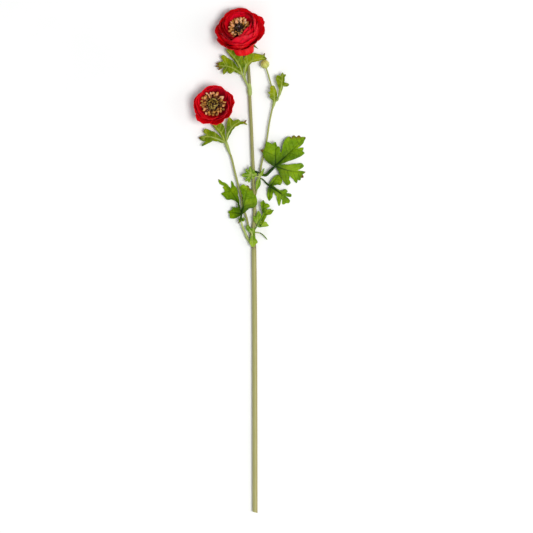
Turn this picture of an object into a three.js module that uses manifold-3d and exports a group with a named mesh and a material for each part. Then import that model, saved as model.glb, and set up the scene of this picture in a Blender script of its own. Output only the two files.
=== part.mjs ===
// Persian buttercup spray, cut and laid down on a table: one long stem that forks into
// two open red blooms and a closed bud, with lobed bracts under each and cut leaves
// around the forks. Millimetres, +Z up, +Y along the stem towards the blooms.
import * as THREE from 'three';
import { mergeVertices } from 'three/addons/utils/BufferGeometryUtils.js';
import Module from 'manifold-3d';

const wasm = await Module();
wasm.setup();

// Driving dimensions. Places are measured from the cut end of the stem, on the table.
const CLEARANCE = 0.3;          // gap that touching pieces keep
const LEAF_THICKNESS = 0.8;
const BRACT_THICKNESS = 0.75;
const PETAL_THICKNESS = 0.75;
const CUT_SLANT = 0.3;          // rise of the cut face for each mm across the stem
const STEM_SIDES = 12;
const BRANCH_SIDES = 8;
const STALK_SIDES = 5;
const LATHE_SIDES = 8;
const CUSHION_SIDES = 12;
const BUD_RADIUS = 5.3;
const LEAF_WAVE = 0.35;         // height of the slow ripple in every leaf
const LEAF_ARCH = 0.8;          // rise of a lobe's middle over the line from palm to tip
const LEAF_FOLD = 0.04;         // rise for each mm away from the rib
const RIB_STEPS = [0.3, 0.62];  // where a rib has points, as shares of its length
const FINEST_EDGE = 0.02;       // detail that is smoothed away once solids are joined

const LARGE_BLOOM = { base: [-17.4, 575.4, 8.2], axis: [-0.11, 0.46, 0.88] };
const SMALL_BLOOM = { base: [-49.3, 487.8, 7.8], axis: [-0.06, 0.12, 0.99] };
const BUD_CENTRE = [11.8, 537, 5.7];

// Stem routes: [x, y, height of the centre line, radius].
const STEM_ROUTES = {
  main: [
    [0, 0, 2.95, 3.05], [-0.2, 134, 2.95, 3.05], [-0.6, 254, 2.95, 3.0], [-1.2, 309, 3.0, 2.95],
    [-1.3, 319, 3.0, 2.75], [-2.0, 336, 3.0, 2.25], [-0.6, 355, 3.1, 2.1], [-0.6, 376, 3.2, 2.05],
    [-1.8, 392, 3.2, 2.0], [-2.0, 410, 3.2, 1.95], [-2.9, 426, 3.3, 1.95], [-4.4, 463, 3.4, 1.9],
    [-6.2, 497, 3.4, 1.9], [-7.2, 524, 3.2, 1.85], [-9.5, 545, 2.8, 1.85], [-13.2, 561, 2.6, 1.85],
    [-16.2, 570.2, 3.4, 1.85], [-17.15, 574.3, 6.4, 1.85], [-17.5, 575.9, 9.2, 1.85],
  ],
  left: [
    [-1.4, 322, 3.0, 1.2], [-5.5, 335, 4.1, 1.25], [-7.8, 343, 4.5, 1.2], [-11.3, 357, 4.7, 1.2],
    [-14.4, 364, 4.7, 1.2], [-16.0, 376, 4.7, 1.2], [-18.5, 386, 4.7, 1.2], [-22.3, 401, 4.7, 1.2],
    [-24.6, 410, 4.7, 1.2], [-28.2, 425, 4.5, 1.2], [-32.5, 436, 4.3, 1.2], [-35.3, 444.5, 4.1, 1.2],
    [-39.8, 458, 3.6, 1.2], [-44.5, 472, 2.9, 1.2], [-48.0, 482, 2.8, 1.25], [-49.1, 486.8, 4.6, 1.3],
    [-49.35, 488, 8.8, 1.3],
  ],
  right: [
    [-0.4, 376, 3.2, 1.0], [1.8, 386, 3.6, 1.1], [4.3, 396, 4.0, 1.1], [6.3, 403.5, 4.2, 1.1],
    [6.7, 411, 4.3, 1.1], [9.6, 425, 4.4, 1.05], [13.9, 445, 4.5, 1.05], [17.4, 468, 4.6, 1.0],
    [20.4, 482, 4.8, 1.0], [22.8, 491, 5.0, 1.05], [22.6, 498, 5.2, 1.0], [20.6, 507, 5.4, 0.95],
    [16.9, 521, 5.6, 0.9], [13.0, 533.6, 5.7, 0.9],
  ],
};

// Colours of the plant.
const COLOURS = {
  stem: 0xa5a364,
  leaf: 0x6e9616,
  bract: 0x7fa022,
  petal: 0xc8000f,
  stamen: 0xd8a868,
  carpel: 0x6e6430,
  bud: 0xb9b450,
};

function vec(p) {
  return new THREE.Vector3(p[0], p[1], p[2]);
}

// A closed solid from plain points and triangles.
function solid(points, triangles) {
  const geometry = new THREE.BufferGeometry();
  const flat = points.flatMap((p) => [p.x, p.y, p.z]);
  geometry.setAttribute('position', new THREE.Float32BufferAttribute(flat, 3));
  geometry.setIndex(triangles.flat());
  return solidOf(geometry);
}

function solidOf(source) {
  const geometry = source.clone();
  geometry.deleteAttribute('normal');
  geometry.deleteAttribute('uv');
  const merged = mergeVertices(geometry, 1e-4);
  return new wasm.Manifold(new wasm.Mesh({
    numProp: 3,
    vertProperties: new Float32Array(merged.attributes.position.array),
    triVerts: new Uint32Array(merged.index.array),
  }));
}

// Joins solids and keeps the one outer body, so sealed hollows and scraps go.
function fuse(solids) {
  const joined = solids.reduce((a, b) => a.add(b));
  return largest(joined);
}

function largest(joined) {
  const bodies = joined.decompose();
  return bodies.reduce((a, b) => (b.volume() > a.volume() ? b : a));
}

function meshOf(name, body, colour, roughness) {
  const clean = largest(body.simplify(FINEST_EDGE));
  const data = clean.getMesh();
  const geometry = new THREE.BufferGeometry();
  const count = data.vertProperties.length / data.numProp;
  const positions = new Float32Array(count * 3);
  for (let i = 0; i < count; i += 1) {
    for (let k = 0; k < 3; k += 1) positions[i * 3 + k] = data.vertProperties[i * data.numProp + k];
  }
  geometry.setAttribute('position', new THREE.BufferAttribute(positions, 3));
  geometry.setIndex(new THREE.BufferAttribute(new Uint32Array(data.triVerts), 1));
  geometry.computeVertexNormals();
  const material = new THREE.MeshStandardMaterial({ color: colour, roughness, metalness: 0 });
  const mesh = new THREE.Mesh(geometry, material);
  mesh.name = name;
  return mesh;
}

// A tapering round tube through [x, y, z, radius] points, closed at both ends, with
// perSpan steps between one point and the next.
function tube(route, sides, perSpan, options = {}) {
  const { grow = 0, slant = 0, floor = null } = options;
  const curve = new THREE.CatmullRomCurve3(route.map(vec), false, 'centripetal');
  const radii = new THREE.CatmullRomCurve3(route.map((p, i) => new THREE.Vector3(i, p[3], 0)));
  const steps = (route.length - 1) * perSpan;
  const points = [];
  const triangles = [];
  let side = null;
  for (let i = 0; i <= steps; i += 1) {
    const t = i / steps;
    const centre = curve.getPoint(t);
    const along = curve.getTangent(t);
    side ??= new THREE.Vector3().crossVectors(new THREE.Vector3(0, 0, 1), along).normalize();
    side = side.sub(along.clone().multiplyScalar(side.dot(along))).normalize();
    const up = new THREE.Vector3().crossVectors(along, side);
    const radius = radii.getPoint(t).y + grow;
    for (let k = 0; k < sides; k += 1) {
      const angle = ((k + 0.5) / sides) * Math.PI * 2;
      const p = centre.clone()
        .addScaledVector(side, Math.cos(angle) * radius)
        .addScaledVector(up, Math.sin(angle) * radius);
      if (i === 0) p.y -= slant * (p.x - centre.x);
      if (floor !== null) p.z = Math.max(p.z, floor);
      points.push(p);
    }
  }
  for (let i = 0; i < steps; i += 1) {
    for (let k = 0; k < sides; k += 1) {
      const a = i * sides + k;
      const b = i * sides + ((k + 1) % sides);
      triangles.push([a, b, a + sides], [b, b + sides, a + sides]);
    }
  }
  const last = steps * sides;
  for (let k = 1; k < sides - 1; k += 1) {
    triangles.push([0, k + 1, k], [last, last + k, last + k + 1]);
  }
  return solid(points, triangles);
}

function stemSolid(grow) {
  const floor = grow > 0 ? null : 0;
  return fuse([
    tube(STEM_ROUTES.main, STEM_SIDES, 1, { grow, slant: CUT_SLANT, floor }),
    tube(STEM_ROUTES.left, BRANCH_SIDES, 1, { grow, floor }),
    tube(STEM_ROUTES.right, BRANCH_SIDES, 1, { grow, floor }),
  ]);
}

// Leaf blades. A blade is a fan of lobes round its palm. Each lobe climbs one side of
// its outline to the tip and comes down the other to the sinus that it shares with the
// next lobe. Heights are given at the palm and the tips, and between them the blade
// follows its rib with a slight arch, a fold along the rib and a slow ripple.
function ripple(x, y) {
  return LEAF_WAVE * Math.sin(0.37 * x + 0.8) * Math.sin(0.29 * y);
}

function bladeHeight(blade, lobe, x, y) {
  const [px, py, pz] = blade.palm;
  const [tx, ty, tz] = lobe.tip;
  const length = Math.hypot(tx - px, ty - py);
  const along = ((x - px) * (tx - px) + (y - py) * (ty - py)) / length;
  const across = Math.abs((x - px) * (ty - py) - (y - py) * (tx - px)) / length;
  const s = THREE.MathUtils.clamp(along / length, 0, 1.1);
  const arch = (blade.arch ?? LEAF_ARCH) * 4 * s * (1 - s);
  return pz + (tz - pz) * s + arch + (blade.fold ?? LEAF_FOLD) * across + ripple(x, y) * s;
}

// A rib is straight, or bows past the lobe's via point.
function ribPoint(blade, lobe, s) {
  const straight = [0, 1].map((k) => (blade.palm[k] + lobe.tip[k]) / 2);
  const via = lobe.via ?? straight;
  return [0, 1].map((k) => (1 - s) ** 2 * blade.palm[k] + 2 * s * (1 - s) * via[k] + s * s * lobe.tip[k]);
}

function bladeSolid(blade) {
  const thickness = blade.thickness ?? LEAF_THICKNESS;
  const points = [];
  const faces = [];
  const add = (x, y, lobe) => points.push(new THREE.Vector3(x, y, bladeHeight(blade, lobe, x, y))) - 1;
  const [px, py, pz] = blade.palm;
  points.push(new THREE.Vector3(px, py, pz));
  const border = [0];
  const fill = (ring) => {
    const contour = ring.map((i) => new THREE.Vector2(points[i].x, points[i].y));
    const cuts = THREE.ShapeUtils.triangulateShape(contour, []);
    const area = cuts.reduce((sum, cut) => sum + THREE.ShapeUtils.area(cut.map((i) => contour[i])), 0);
    for (const [a, b, c] of cuts) {
      faces.push(area < 0 ? [ring[a], ring[c], ring[b]] : [ring[a], ring[b], ring[c]]);
    }
  };
  let opening = null;
  for (const lobe of blade.lobes) {
    const rib = RIB_STEPS.map((s) => add(...ribPoint(blade, lobe, s), lobe));
    const climb = lobe.climb.map(([x, y]) => add(x, y, lobe));
    const tip = add(lobe.tip[0], lobe.tip[1], lobe);
    const fall = lobe.fall.map(([x, y]) => add(x, y, lobe));
    const left = opening === null ? climb : [opening, ...climb];
    const right = [...fall];
    if (lobe.sinus) {
      opening = add(lobe.sinus[0], lobe.sinus[1], lobe);
      right.push(opening);
    }
    fill([0, ...left, tip, ...[...rib].reverse()]);
    fill([0, ...rib, tip, ...right]);
    border.push(...climb, tip, ...right);
  }
  return slab(points, faces, border, thickness);
}

// Thickens an open sheet of faces that look up, with a wall round its border.
function slab(sheet, faces, border, thickness) {
  const normals = sheet.map(() => new THREE.Vector3());
  for (const [a, b, c] of faces) {
    const normal = new THREE.Vector3()
      .crossVectors(sheet[b].clone().sub(sheet[a]), sheet[c].clone().sub(sheet[a]));
    for (const i of [a, b, c]) normals[i].add(normal);
  }
  const half = thickness / 2;
  const top = sheet.map((p, i) => p.clone().addScaledVector(normals[i].clone().normalize(), half));
  const under = sheet.map((p, i) => p.clone().addScaledVector(normals[i].clone().normalize(), -half));
  top.forEach((p) => { p.z = Math.max(p.z, thickness); });
  under.forEach((p) => { p.z = Math.max(p.z, 0); });
  const n = sheet.length;
  const triangles = faces.flatMap(([a, b, c]) => [[a, b, c], [a + n, c + n, b + n]]);
  const edge = new THREE.Vector2();
  const outline = border.map((i) => edge.clone().set(sheet[i].x, sheet[i].y));
  const ordered = THREE.ShapeUtils.isClockWise(outline) ? [...border].reverse() : border;
  ordered.forEach((a, i) => {
    const b = ordered[(i + 1) % ordered.length];
    triangles.push([a, a + n, b], [b, a + n, b + n]);
  });
  return solid([...top, ...under], triangles);
}

// The stalk runs from the stem to the palm and on under the middle rib.
function leafSolid(leaf) {
  const parts = leaf.blades.map((blade) => bladeSolid(blade));
  for (const stalk of leaf.stalks) parts.push(tube(stalk, STALK_SIDES, 1, { floor: 0 }));
  for (const collar of leaf.collars ?? []) parts.push(tube(collar, STEM_SIDES, 1, { floor: 0 }));
  return fuse(parts);
}

const LEAVES = {
  leaf_large_right: {
    stalks: [[
      [6.9, 404.4, 4.5, 1.0], [9.4, 404.4, 4.8, 1.3], [12.6, 404.0, 5.3, 1.8], [17.5, 408.2, 5.9, 1.85],
      [22.5, 413.0, 6.3, 1.7], [30.5, 420.6, 6.9, 1.0], [39.0, 429.0, 6.3, 0.6],
    ]],
    blades: [{
      palm: [24.6, 415, 6.8],
      lobes: [
        {
          climb: [[21.2, 415.3], [12.4, 422.0], [9.4, 430.3], [6.6, 434.1], [11.6, 435.4], [12.8, 438.5],
            [13.9, 444.4], [20.4, 441.0]],
          tip: [24.4, 444.2, 7.6],
          fall: [[26.3, 438.6], [29.5, 438.0], [30.2, 432.9]],
          sinus: [31.2, 427.7],
        },
        {
          climb: [[32.6, 435.0], [34.2, 443.1], [37.0, 447.9], [41.6, 450.8], [43.6, 448.8], [46.9, 452.3],
            [49.6, 449.6], [52.9, 452.2], [55.0, 450.0]],
          tip: [61.0, 449.8, -2.6],
          fall: [[59.2, 445.6], [57.2, 441.4], [50.1, 435.9], [58.5, 437.4], [57.0, 432.9], [59.8, 430.7],
            [53.7, 426.0], [39.2, 420.4]],
          sinus: [30.4, 417.2],
        },
        {
          climb: [[40.0, 416.4], [50.7, 417.9], [56.3, 418.6], [58.9, 415.0], [54.6, 411.6], [50.3, 409.9]],
          tip: [61.0, 408.2, -2.6],
          via: [44.0, 406.5],
          fall: [[57.0, 405.2], [58.6, 401.4], [55.2, 401.0], [54.4, 397.7], [51.2, 398.8], [50.1, 394.2],
            [46.0, 399.4], [41.5, 403.9], [40.7, 399.0], [42.8, 394.5], [38.5, 391.4], [34.9, 396.0],
            [31.5, 401.8], [28.6, 408.0]],
        },
      ],
    }],
  },
  leaf_small_right: {
    stalks: [[
      [6.4, 399.9, 4.1, 0.75], [8.6, 399.6, 4.1, 0.75], [11.0, 397.6, 4.2, 0.8], [14.6, 393.6, 4.3, 1.1],
      [18.3, 390.8, 4.3, 1.2], [26.0, 386.0, 4.0, 0.9], [32.0, 381.6, 2.8, 0.6],
    ]],
    blades: [{
      palm: [18.3, 390.8, 4.6],
      lobes: [
        {
          climb: [[17.0, 393.4], [20.2, 398.2], [23.6, 402.6]],
          tip: [28.1, 405.0, 2.6],
          fall: [[30.6, 402.7], [32.7, 397.5], [30.9, 392.2], [26.9, 392.9]],
          sinus: [21.6, 391.4],
        },
        {
          climb: [[25.7, 388.4], [29.7, 385.9], [33.0, 386.0], [37.0, 387.6], [39.4, 384.8], [37.4, 382.9],
            [43.8, 381.5], [43.6, 378.0], [36.9, 379.0]],
          tip: [42.2, 373.7, -1.8],
          fall: [[40.7, 370.4], [37.3, 370.8], [35.6, 369.2], [32.7, 369.1], [32.7, 374.3], [30.9, 375.8],
            [30.8, 370.9], [28.9, 366.7], [26.9, 372.1], [26.3, 378.3]],
          sinus: [22.3, 384.9],
        },
        {
          climb: [[21.2, 381.3], [20.8, 377.3], [19.2, 375.6]],
          tip: [17.1, 372.9, -1.4],
          fall: [[15.0, 377.3], [15.0, 384.4], [15.4, 389.0]],
        },
      ],
    }],
  },
  leaf_centre: {
    stalks: [
      [[-0.4, 408.4, 4.3, 0.8], [1.6, 408.0, 5.6, 0.95], [3.9, 406.6, 6.6, 1.0], [4.6, 402.6, 6.9, 0.9],
        [-0.6, 403.7, 7.0, 0.8], [-4.2, 404.6, 7.1, 0.6]],
      [[3.4, 402.9, 6.9, 0.8], [7.0, 403.6, 6.9, 0.9], [9.8, 409.4, 6.9, 0.5]],
      [[5.2, 403.4, 6.9, 0.8], [4.7, 399.5, 6.8, 0.9], [3.4, 392.8, 6.2, 0.5]],
    ],
    blades: [
      {
        palm: [-4.2, 404.6, 7.2],
        lobes: [
          {
            climb: [[-4.9, 401.2], [-5.1, 397.9], [-7.2, 394.6], [-8.6, 397.4]],
            tip: [-12.0, 396.2, 6.2],
            fall: [[-11.3, 399.3]],
            sinus: [-9.0, 402.0],
          },
          {
            climb: [[-13.4, 401.4]],
            tip: [-16.4, 403.4, 6.4],
            fall: [[-13.1, 406.7]],
            sinus: [-9.0, 406.3],
          },
          {
            climb: [[-11.4, 408.7]],
            tip: [-11.1, 412.2, 7.0],
            fall: [[-8.3, 410.6]],
            sinus: [-6.4, 407.7],
          },
          {
            climb: [[-7.7, 411.0]],
            tip: [-5.8, 415.2, 7.4],
            fall: [[-3.3, 409.7], [-1.4, 405.2]],
          },
        ],
      },
      {
        palm: [5.4, 402.2, 6.9],
        lobes: [{
          climb: [[5.6, 404.4], [8.4, 409.3]],
          tip: [11.2, 412.8, 7.2],
          fall: [[10.6, 408.3], [8.4, 403.2]],
        }],
      },
      {
        palm: [4.9, 402.4, 6.9],
        lobes: [{
          climb: [[6.3, 399.4], [6.9, 393.0], [4.8, 389.2]],
          tip: [1.5, 385.6, 5.8],
          fall: [[0.9, 392.4], [2.0, 397.4]],
        }],
      },
    ],
  },
  leaf_left: {
    stalks: [[
      [-4.0, 320.6, 3.3, 1.0], [-9.6, 327.4, 3.6, 1.0], [-12.8, 335.2, 4.8, 1.0], [-15.6, 343.2, 6.2, 1.0],
      [-16.9, 350.0, 7.2, 1.2], [-16.0, 357.7, 7.6, 1.3], [-12.6, 368.0, 7.9, 0.9], [-10.4, 379.0, 7.9, 0.6],
    ]],
    blades: [
      {
        palm: [-16.2, 357.7, 7.7],
        fold: -0.02,
        lobes: [
          {
            climb: [[-20.0, 354.0], [-23.8, 352.2], [-30.0, 352.4], [-30.2, 357.4]],
            tip: [-32.6, 360.2, 2.2],
            fall: [[-28.4, 361.9], [-26.5, 363.8], [-28.1, 365.8], [-23.6, 365.3]],
            sinus: [-20.2, 365.4],
          },
          {
            climb: [[-20.8, 370.7], [-23.8, 373.7], [-28.4, 375.1], [-33.6, 374.5], [-36.5, 378.3],
              [-40.5, 381.8], [-36.1, 384.3], [-36.7, 387.1], [-39.0, 389.8], [-36.3, 390.8], [-42.8, 394.0]],
            tip: [-44.2, 399.6, -2.6],
            via: [-18.5, 378.0],
            fall: [[-39.1, 396.1], [-34.2, 394.0], [-31.3, 390.6], [-28.6, 387.7], [-28.3, 391.7],
              [-28.4, 397.8], [-26.1, 395.2], [-25.0, 391.9], [-21.7, 388.6], [-20.4, 380.2], [-18.6, 368.8]],
            sinus: [-17.3, 362.3],
          },
          {
            climb: [[-14.3, 366.9], [-14.0, 372.6], [-14.9, 380.0], [-16.6, 385.6], [-18.4, 389.8],
              [-13.4, 393.5], [-11.4, 391.0]],
            tip: [-8.2, 391.9, 8.2],
            fall: [[-6.5, 388.2], [-4.1, 387.0], [-1.7, 381.8], [1.9, 377.4], [2.6, 369.9], [-0.7, 365.3],
              [-6.6, 364.4], [-9.7, 361.7], [-13.3, 358.4]],
          },
        ],
      },
      {
        palm: [-16.7, 351.2, 7.2],
        lobes: [
          {
            climb: [[-14.4, 353.4], [-12.3, 352.9]],
            tip: [-11.8, 350.7, 6.8],
            fall: [[-13.9, 348.3]],
            sinus: [-15.8, 349.0],
          },
          {
            climb: [[-17.4, 348.2]],
            tip: [-20.5, 345.6, 6.2],
            fall: [[-19.2, 349.4], [-20.4, 352.4]],
          },
        ],
      },
    ],
  },
  leaf_lower_right: {
    stalks: [[
      [-0.6, 338.6, 4.0, 0.8], [1.2, 341.2, 5.4, 1.0], [4.4, 346.9, 6.7, 1.1], [7.5, 352.9, 7.2, 1.1],
      [10.2, 359.0, 7.5, 0.9], [10.4, 367.0, 7.8, 0.5],
    ]],
    blades: [
      {
        palm: [9.4, 357.4, 7.6],
        lobes: [
          {
            climb: [[8.9, 359.3], [7.8, 363.8], [6.4, 371.6], [8.0, 372.4]],
            tip: [9.9, 374.4, 8.0],
            fall: [[12.2, 370.1], [15.9, 369.7], [18.1, 366.5], [14.8, 365.1], [12.2, 362.7]],
            sinus: [11.0, 359.7],
          },
          {
            climb: [[14.8, 362.2], [18.5, 364.0], [20.0, 362.1]],
            tip: [22.8, 362.5, 5.4],
            fall: [[21.1, 359.9], [19.2, 357.1], [16.1, 356.4], [12.2, 355.8]],
          },
        ],
      },
      {
        palm: [2.6, 343.8, 6.0],
        lobes: [
          {
            climb: [[1.2, 346.2], [-0.6, 348.6], [-2.6, 353.2]],
            tip: [-0.8, 355.7, 7.4],
            fall: [[0.8, 353.6]],
            sinus: [2.0, 350.6],
          },
          {
            climb: [[1.9, 356.4], [2.5, 359.4]],
            tip: [4.2, 361.6, 7.6],
            fall: [[5.7, 358.1], [5.4, 354.4]],
            sinus: [5.0, 348.9],
          },
          {
            climb: [[10.1, 348.3], [13.5, 348.2], [14.6, 345.9]],
            tip: [16.9, 343.5, 4.6],
            fall: [[13.8, 342.5], [9.6, 342.2], [4.6, 341.4]],
          },
        ],
      },
    ],
  },
  leaf_sheath: {
    stalks: [
      [[-2.2, 327.0, 4.8, 0.9], [-3.4, 331.6, 6.6, 1.2], [-4.2, 335.4, 7.1, 1.1], [-7.6, 340.2, 7.0, 0.6]],
    ],
    blades: [{
      palm: [-3.8, 334.6, 7.3],
      lobes: [
        {
          climb: [[-5.4, 329.2], [-6.6, 324.0], [-5.4, 319.8]],
          tip: [-2.4, 317.6, 6.6],
          fall: [[-0.4, 319.2], [0.8, 321.4], [3.5, 323.6], [0.6, 328.4]],
          sinus: [-0.8, 333.4],
        },
        {
          climb: [[0.2, 334.8]],
          tip: [-0.8, 339.4, 7.0],
          fall: [[-3.4, 340.8]],
          sinus: [-4.8, 339.0],
        },
        {
          climb: [[-6.4, 343.0]],
          tip: [-9.8, 344.4, 6.6],
          fall: [[-10.8, 340.6], [-8.0, 336.4]],
        },
      ],
    }],
  },
  bracts_large_bloom: {
    collars: [[[-6.1, 501, 3.4, 2.7], [-6.6, 506, 3.5, 3.0], [-6.8, 511.5, 3.4, 2.8]]],
    stalks: [
      [[-6.9, 507, 5.4, 1.0], [-8.6, 511.6, 6.1, 1.2], [-11.4, 516.6, 6.6, 1.3], [-14.4, 522.6, 7.0, 1.2],
        [-17.2, 531.0, 7.2, 0.9], [-19.4, 541.0, 7.4, 0.5]],
      [[-10.4, 514.8, 6.4, 1.1], [-12.2, 522.0, 7.0, 1.1], [-11.6, 534.0, 7.3, 0.9], [-8.0, 541.6, 7.4, 0.5]],
    ],
    blades: [
      {
        palm: [-14.8, 523.4, 7.3],
        thickness: BRACT_THICKNESS,
        lobes: [
          {
            climb: [[-17.0, 524.3], [-20.8, 526.2], [-25.5, 528.3], [-29.8, 525.3], [-33.6, 528.5],
              [-37.9, 524.3], [-38.6, 529.8], [-34.6, 533.4], [-38.8, 532.4], [-44.2, 529.8], [-42.8, 533.3]],
            tip: [-48.0, 534.5, 4.2],
            via: [-27.0, 538.0],
            fall: [[-43.4, 535.9], [-46.9, 538.0], [-37.7, 540.5], [-40.9, 547.0], [-37.2, 548.0],
              [-32.6, 544.0], [-27.4, 541.6], [-20.8, 533.3]],
            sinus: [-17.4, 527.6],
          },
          {
            climb: [[-20.4, 535.2], [-25.3, 542.6], [-31.8, 549.8]],
            tip: [-34.8, 554.4, 7.4],
            via: [-17.5, 541.0],
            fall: [[-27.4, 555.4], [-21.6, 551.6], [-18.2, 540.0], [-15.6, 529.0]],
          },
        ],
      },
      {
        palm: [-12.2, 519.6, 7.0],
        thickness: BRACT_THICKNESS,
        lobes: [{
          climb: [[-13.4, 524.6], [-13.0, 531.6], [-13.6, 542.0], [-10.4, 548.4], [-1.8, 550.0], [2.9, 549.4],
            [9.1, 547.6], [12.1, 550.8], [11.4, 546.6]],
          tip: [14.6, 543.0, 6.0],
          via: [-14.0, 546.0],
          fall: [[7.2, 541.8], [2.9, 540.6], [-3.7, 539.2], [-8.0, 535.0], [-10.8, 526.4]],
        }],
      },
    ],
  },
  bracts_small_bloom: {
    collars: [[[-31.4, 433.6, 4.4, 1.9], [-33.4, 438.6, 4.3, 2.15], [-34.9, 443.4, 4.1, 2.05]]],
    stalks: [
      [[-34.0, 440.4, 5.4, 0.8], [-36.4, 443.4, 6.0, 0.9], [-44.0, 447.0, 6.3, 0.8],
        [-53.0, 450.2, 6.0, 0.45]],
      [[-33.6, 440.4, 5.4, 0.8], [-34.0, 446.0, 6.2, 0.9], [-32.0, 454.0, 6.6, 0.8],
        [-26.6, 461.6, 6.8, 0.45]],
    ],
    blades: [
      {
        palm: [-36.2, 443.0, 6.2],
        thickness: BRACT_THICKNESS,
        lobes: [
          {
            climb: [[-38.9, 442.3], [-44.0, 444.4], [-50.4, 445.4], [-56.1, 442.2], [-64.4, 438.5],
              [-61.9, 442.4], [-58.6, 444.8], [-63.8, 445.2]],
            tip: [-67.6, 449.3, 4.2],
            via: [-50.0, 453.0],
            fall: [[-61.9, 450.9], [-57.4, 452.4], [-62.1, 455.8], [-59.8, 460.0], [-52.4, 456.9],
              [-47.5, 455.3], [-41.4, 449.3]],
            sinus: [-38.2, 446.2],
          },
          {
            climb: [[-41.6, 453.0], [-46.8, 458.6]],
            tip: [-51.0, 465.0, 7.0],
            via: [-38.0, 456.0],
            fall: [[-45.6, 466.6], [-41.2, 461.8], [-38.6, 454.6], [-36.2, 447.6]],
          },
        ],
      },
      {
        palm: [-34.2, 444.0, 6.2],
        thickness: BRACT_THICKNESS,
        lobes: [{
          climb: [[-35.0, 449.0], [-34.2, 455.6], [-34.0, 463.0], [-31.3, 473.9], [-25.6, 468.6],
            [-19.8, 471.2],
            [-17.2, 468.4]],
          tip: [-10.6, 469.3, 5.6],
          via: [-32.5, 466.0],
          fall: [[-9.6, 465.0], [-17.6, 464.9], [-23.5, 462.0], [-27.2, 457.9], [-30.8, 451.2]],
        }],
      },
    ],
  },
  bracts_bud: {
    collars: [[[21.9, 487.4, 4.9, 1.8], [22.9, 490.8, 5.0, 2.0], [23.1, 494.6, 5.1, 1.9]]],
    stalks: [
      [[23.2, 490.6, 6.0, 0.8], [23.6, 496.0, 7.2, 0.8], [22.4, 505.0, 8.2, 0.45]],
      [[23.2, 490.6, 6.0, 0.8], [26.4, 494.0, 6.6, 0.9], [29.4, 500.6, 7.0, 0.9], [32.2, 512.4, 7.4, 0.45]],
    ],
    blades: [
      {
        palm: [23.8, 490.9, 6.9],
        thickness: BRACT_THICKNESS,
        arch: 1.4,
        lobes: [{
          climb: [[21.6, 493.4], [17.0, 497.5], [18.6, 500.2], [15.2, 503.0], [18.6, 504.3], [17.8, 509.4]],
          tip: [22.3, 511.6, 8.0],
          fall: [[24.5, 507.7], [26.0, 503.5], [26.7, 499.0], [25.6, 494.8]],
        }],
      },
      {
        palm: [25.6, 492.4, 6.5],
        thickness: BRACT_THICKNESS,
        arch: 0.6,
        lobes: [{
          climb: [[27.8, 499.8], [29.0, 506.8], [26.3, 515.1], [24.9, 520.8], [26.6, 524.0], [30.4, 523.0]],
          tip: [33.2, 527.3, 7.4],
          via: [33.0, 507.0],
          fall: [[34.2, 524.6], [37.4, 524.6], [35.5, 521.2], [35.0, 515.1], [41.2, 513.1], [39.4, 510.3],
            [33.6, 510.6], [31.8, 504.1], [29.0, 498.0], [27.2, 492.6]],
        }],
      },
    ],
  },
};

// A thin leaf that stands on its edge beside the fork.
const EDGEWISE_LEAF = {
  stalk: [[0.2, 335.1, 3.6, 0.7], [3.2, 335.2, 3.9, 0.7], [6.6, 334.4, 4.2, 0.7]],
  route: [[5.6, 334.8], [8.4, 333.2], [11.6, 330.2], [14.4, 326.6]],
  middle: [4.2, 4.4, 4.0, 3.2],
  halfHeight: [0.7, 2.6, 2.2, 0.4],
};

function edgewiseSolid() {
  const { route, middle, halfHeight, stalk } = EDGEWISE_LEAF;
  const points = [];
  route.forEach(([x, y], i) => {
    const [ax, ay] = route[Math.max(i - 1, 0)];
    const [bx, by] = route[Math.min(i + 1, route.length - 1)];
    const across = new THREE.Vector3(-(by - ay), bx - ax, 0).normalize().multiplyScalar(BRACT_THICKNESS / 2);
    for (const [side, rise] of [[1, -1], [-1, -1], [-1, 1], [1, 1]]) {
      points.push(new THREE.Vector3(x, y, middle[i] + rise * halfHeight[i]).addScaledVector(across, side));
    }
  });
  const triangles = [[0, 1, 2], [0, 2, 3]];
  for (let i = 0; i < route.length - 1; i += 1) {
    for (let k = 0; k < 4; k += 1) {
      const a = i * 4 + k;
      const b = i * 4 + ((k + 1) % 4);
      triangles.push([a, a + 4, b], [b, a + 4, b + 4]);
    }
  }
  const last = (route.length - 1) * 4;
  triangles.push([last, last + 2, last + 1], [last, last + 3, last + 2]);
  return fuse([solid(points, triangles), tube(stalk, STALK_SIDES, 1)]);
}

// Petals. In the bloom's own frame the axis is +Z. A petal's middle line leaves its root at
// the angle rise[0] above the level and curls to rise[1], most quickly near the tip.
// Its width swells along a stretch of a sine, and near the root it narrows to a claw.
const PETAL_STEPS = { along: 3, curled: 4, across: 4 };
const CURLED = 120;               // degrees of rise from which a petal has the curled steps
const PETAL_SWELL = { from: 0.09, over: 0.62, power: 0.9 };
const PETAL_OPENS = [0.05, 0.38]; // where the claw ends and where the petal is fully open
const PETAL_CURL = 1.3;
const LINE_STEPS = 24;
const TIP_ROUND = 0.2;            // how far the corners fall back from the tip
const WIDEST_TURN = 1.15;         // half the widest angle that one petal takes, in radians
const CLAW_SHARE = 0.85;          // how much of its share of the circle a claw fills
const PETAL_DRAW = { degrees: 5, length: 0.03 }; // how far petals stray from an even whorl

function petalAngle(petal, s) {
  return THREE.MathUtils.degToRad(THREE.MathUtils.lerp(...petal.rise, s ** PETAL_CURL));
}

function petalLine(petal) {
  const step = petal.length / LINE_STEPS;
  const line = [petal.root];
  for (let i = 0; i < LINE_STEPS; i += 1) {
    const angle = petalAngle(petal, (i + 0.5) / LINE_STEPS);
    const [r, h] = line[i];
    line.push([r + step * Math.cos(angle), h + step * Math.sin(angle)]);
  }
  return line;
}

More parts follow.
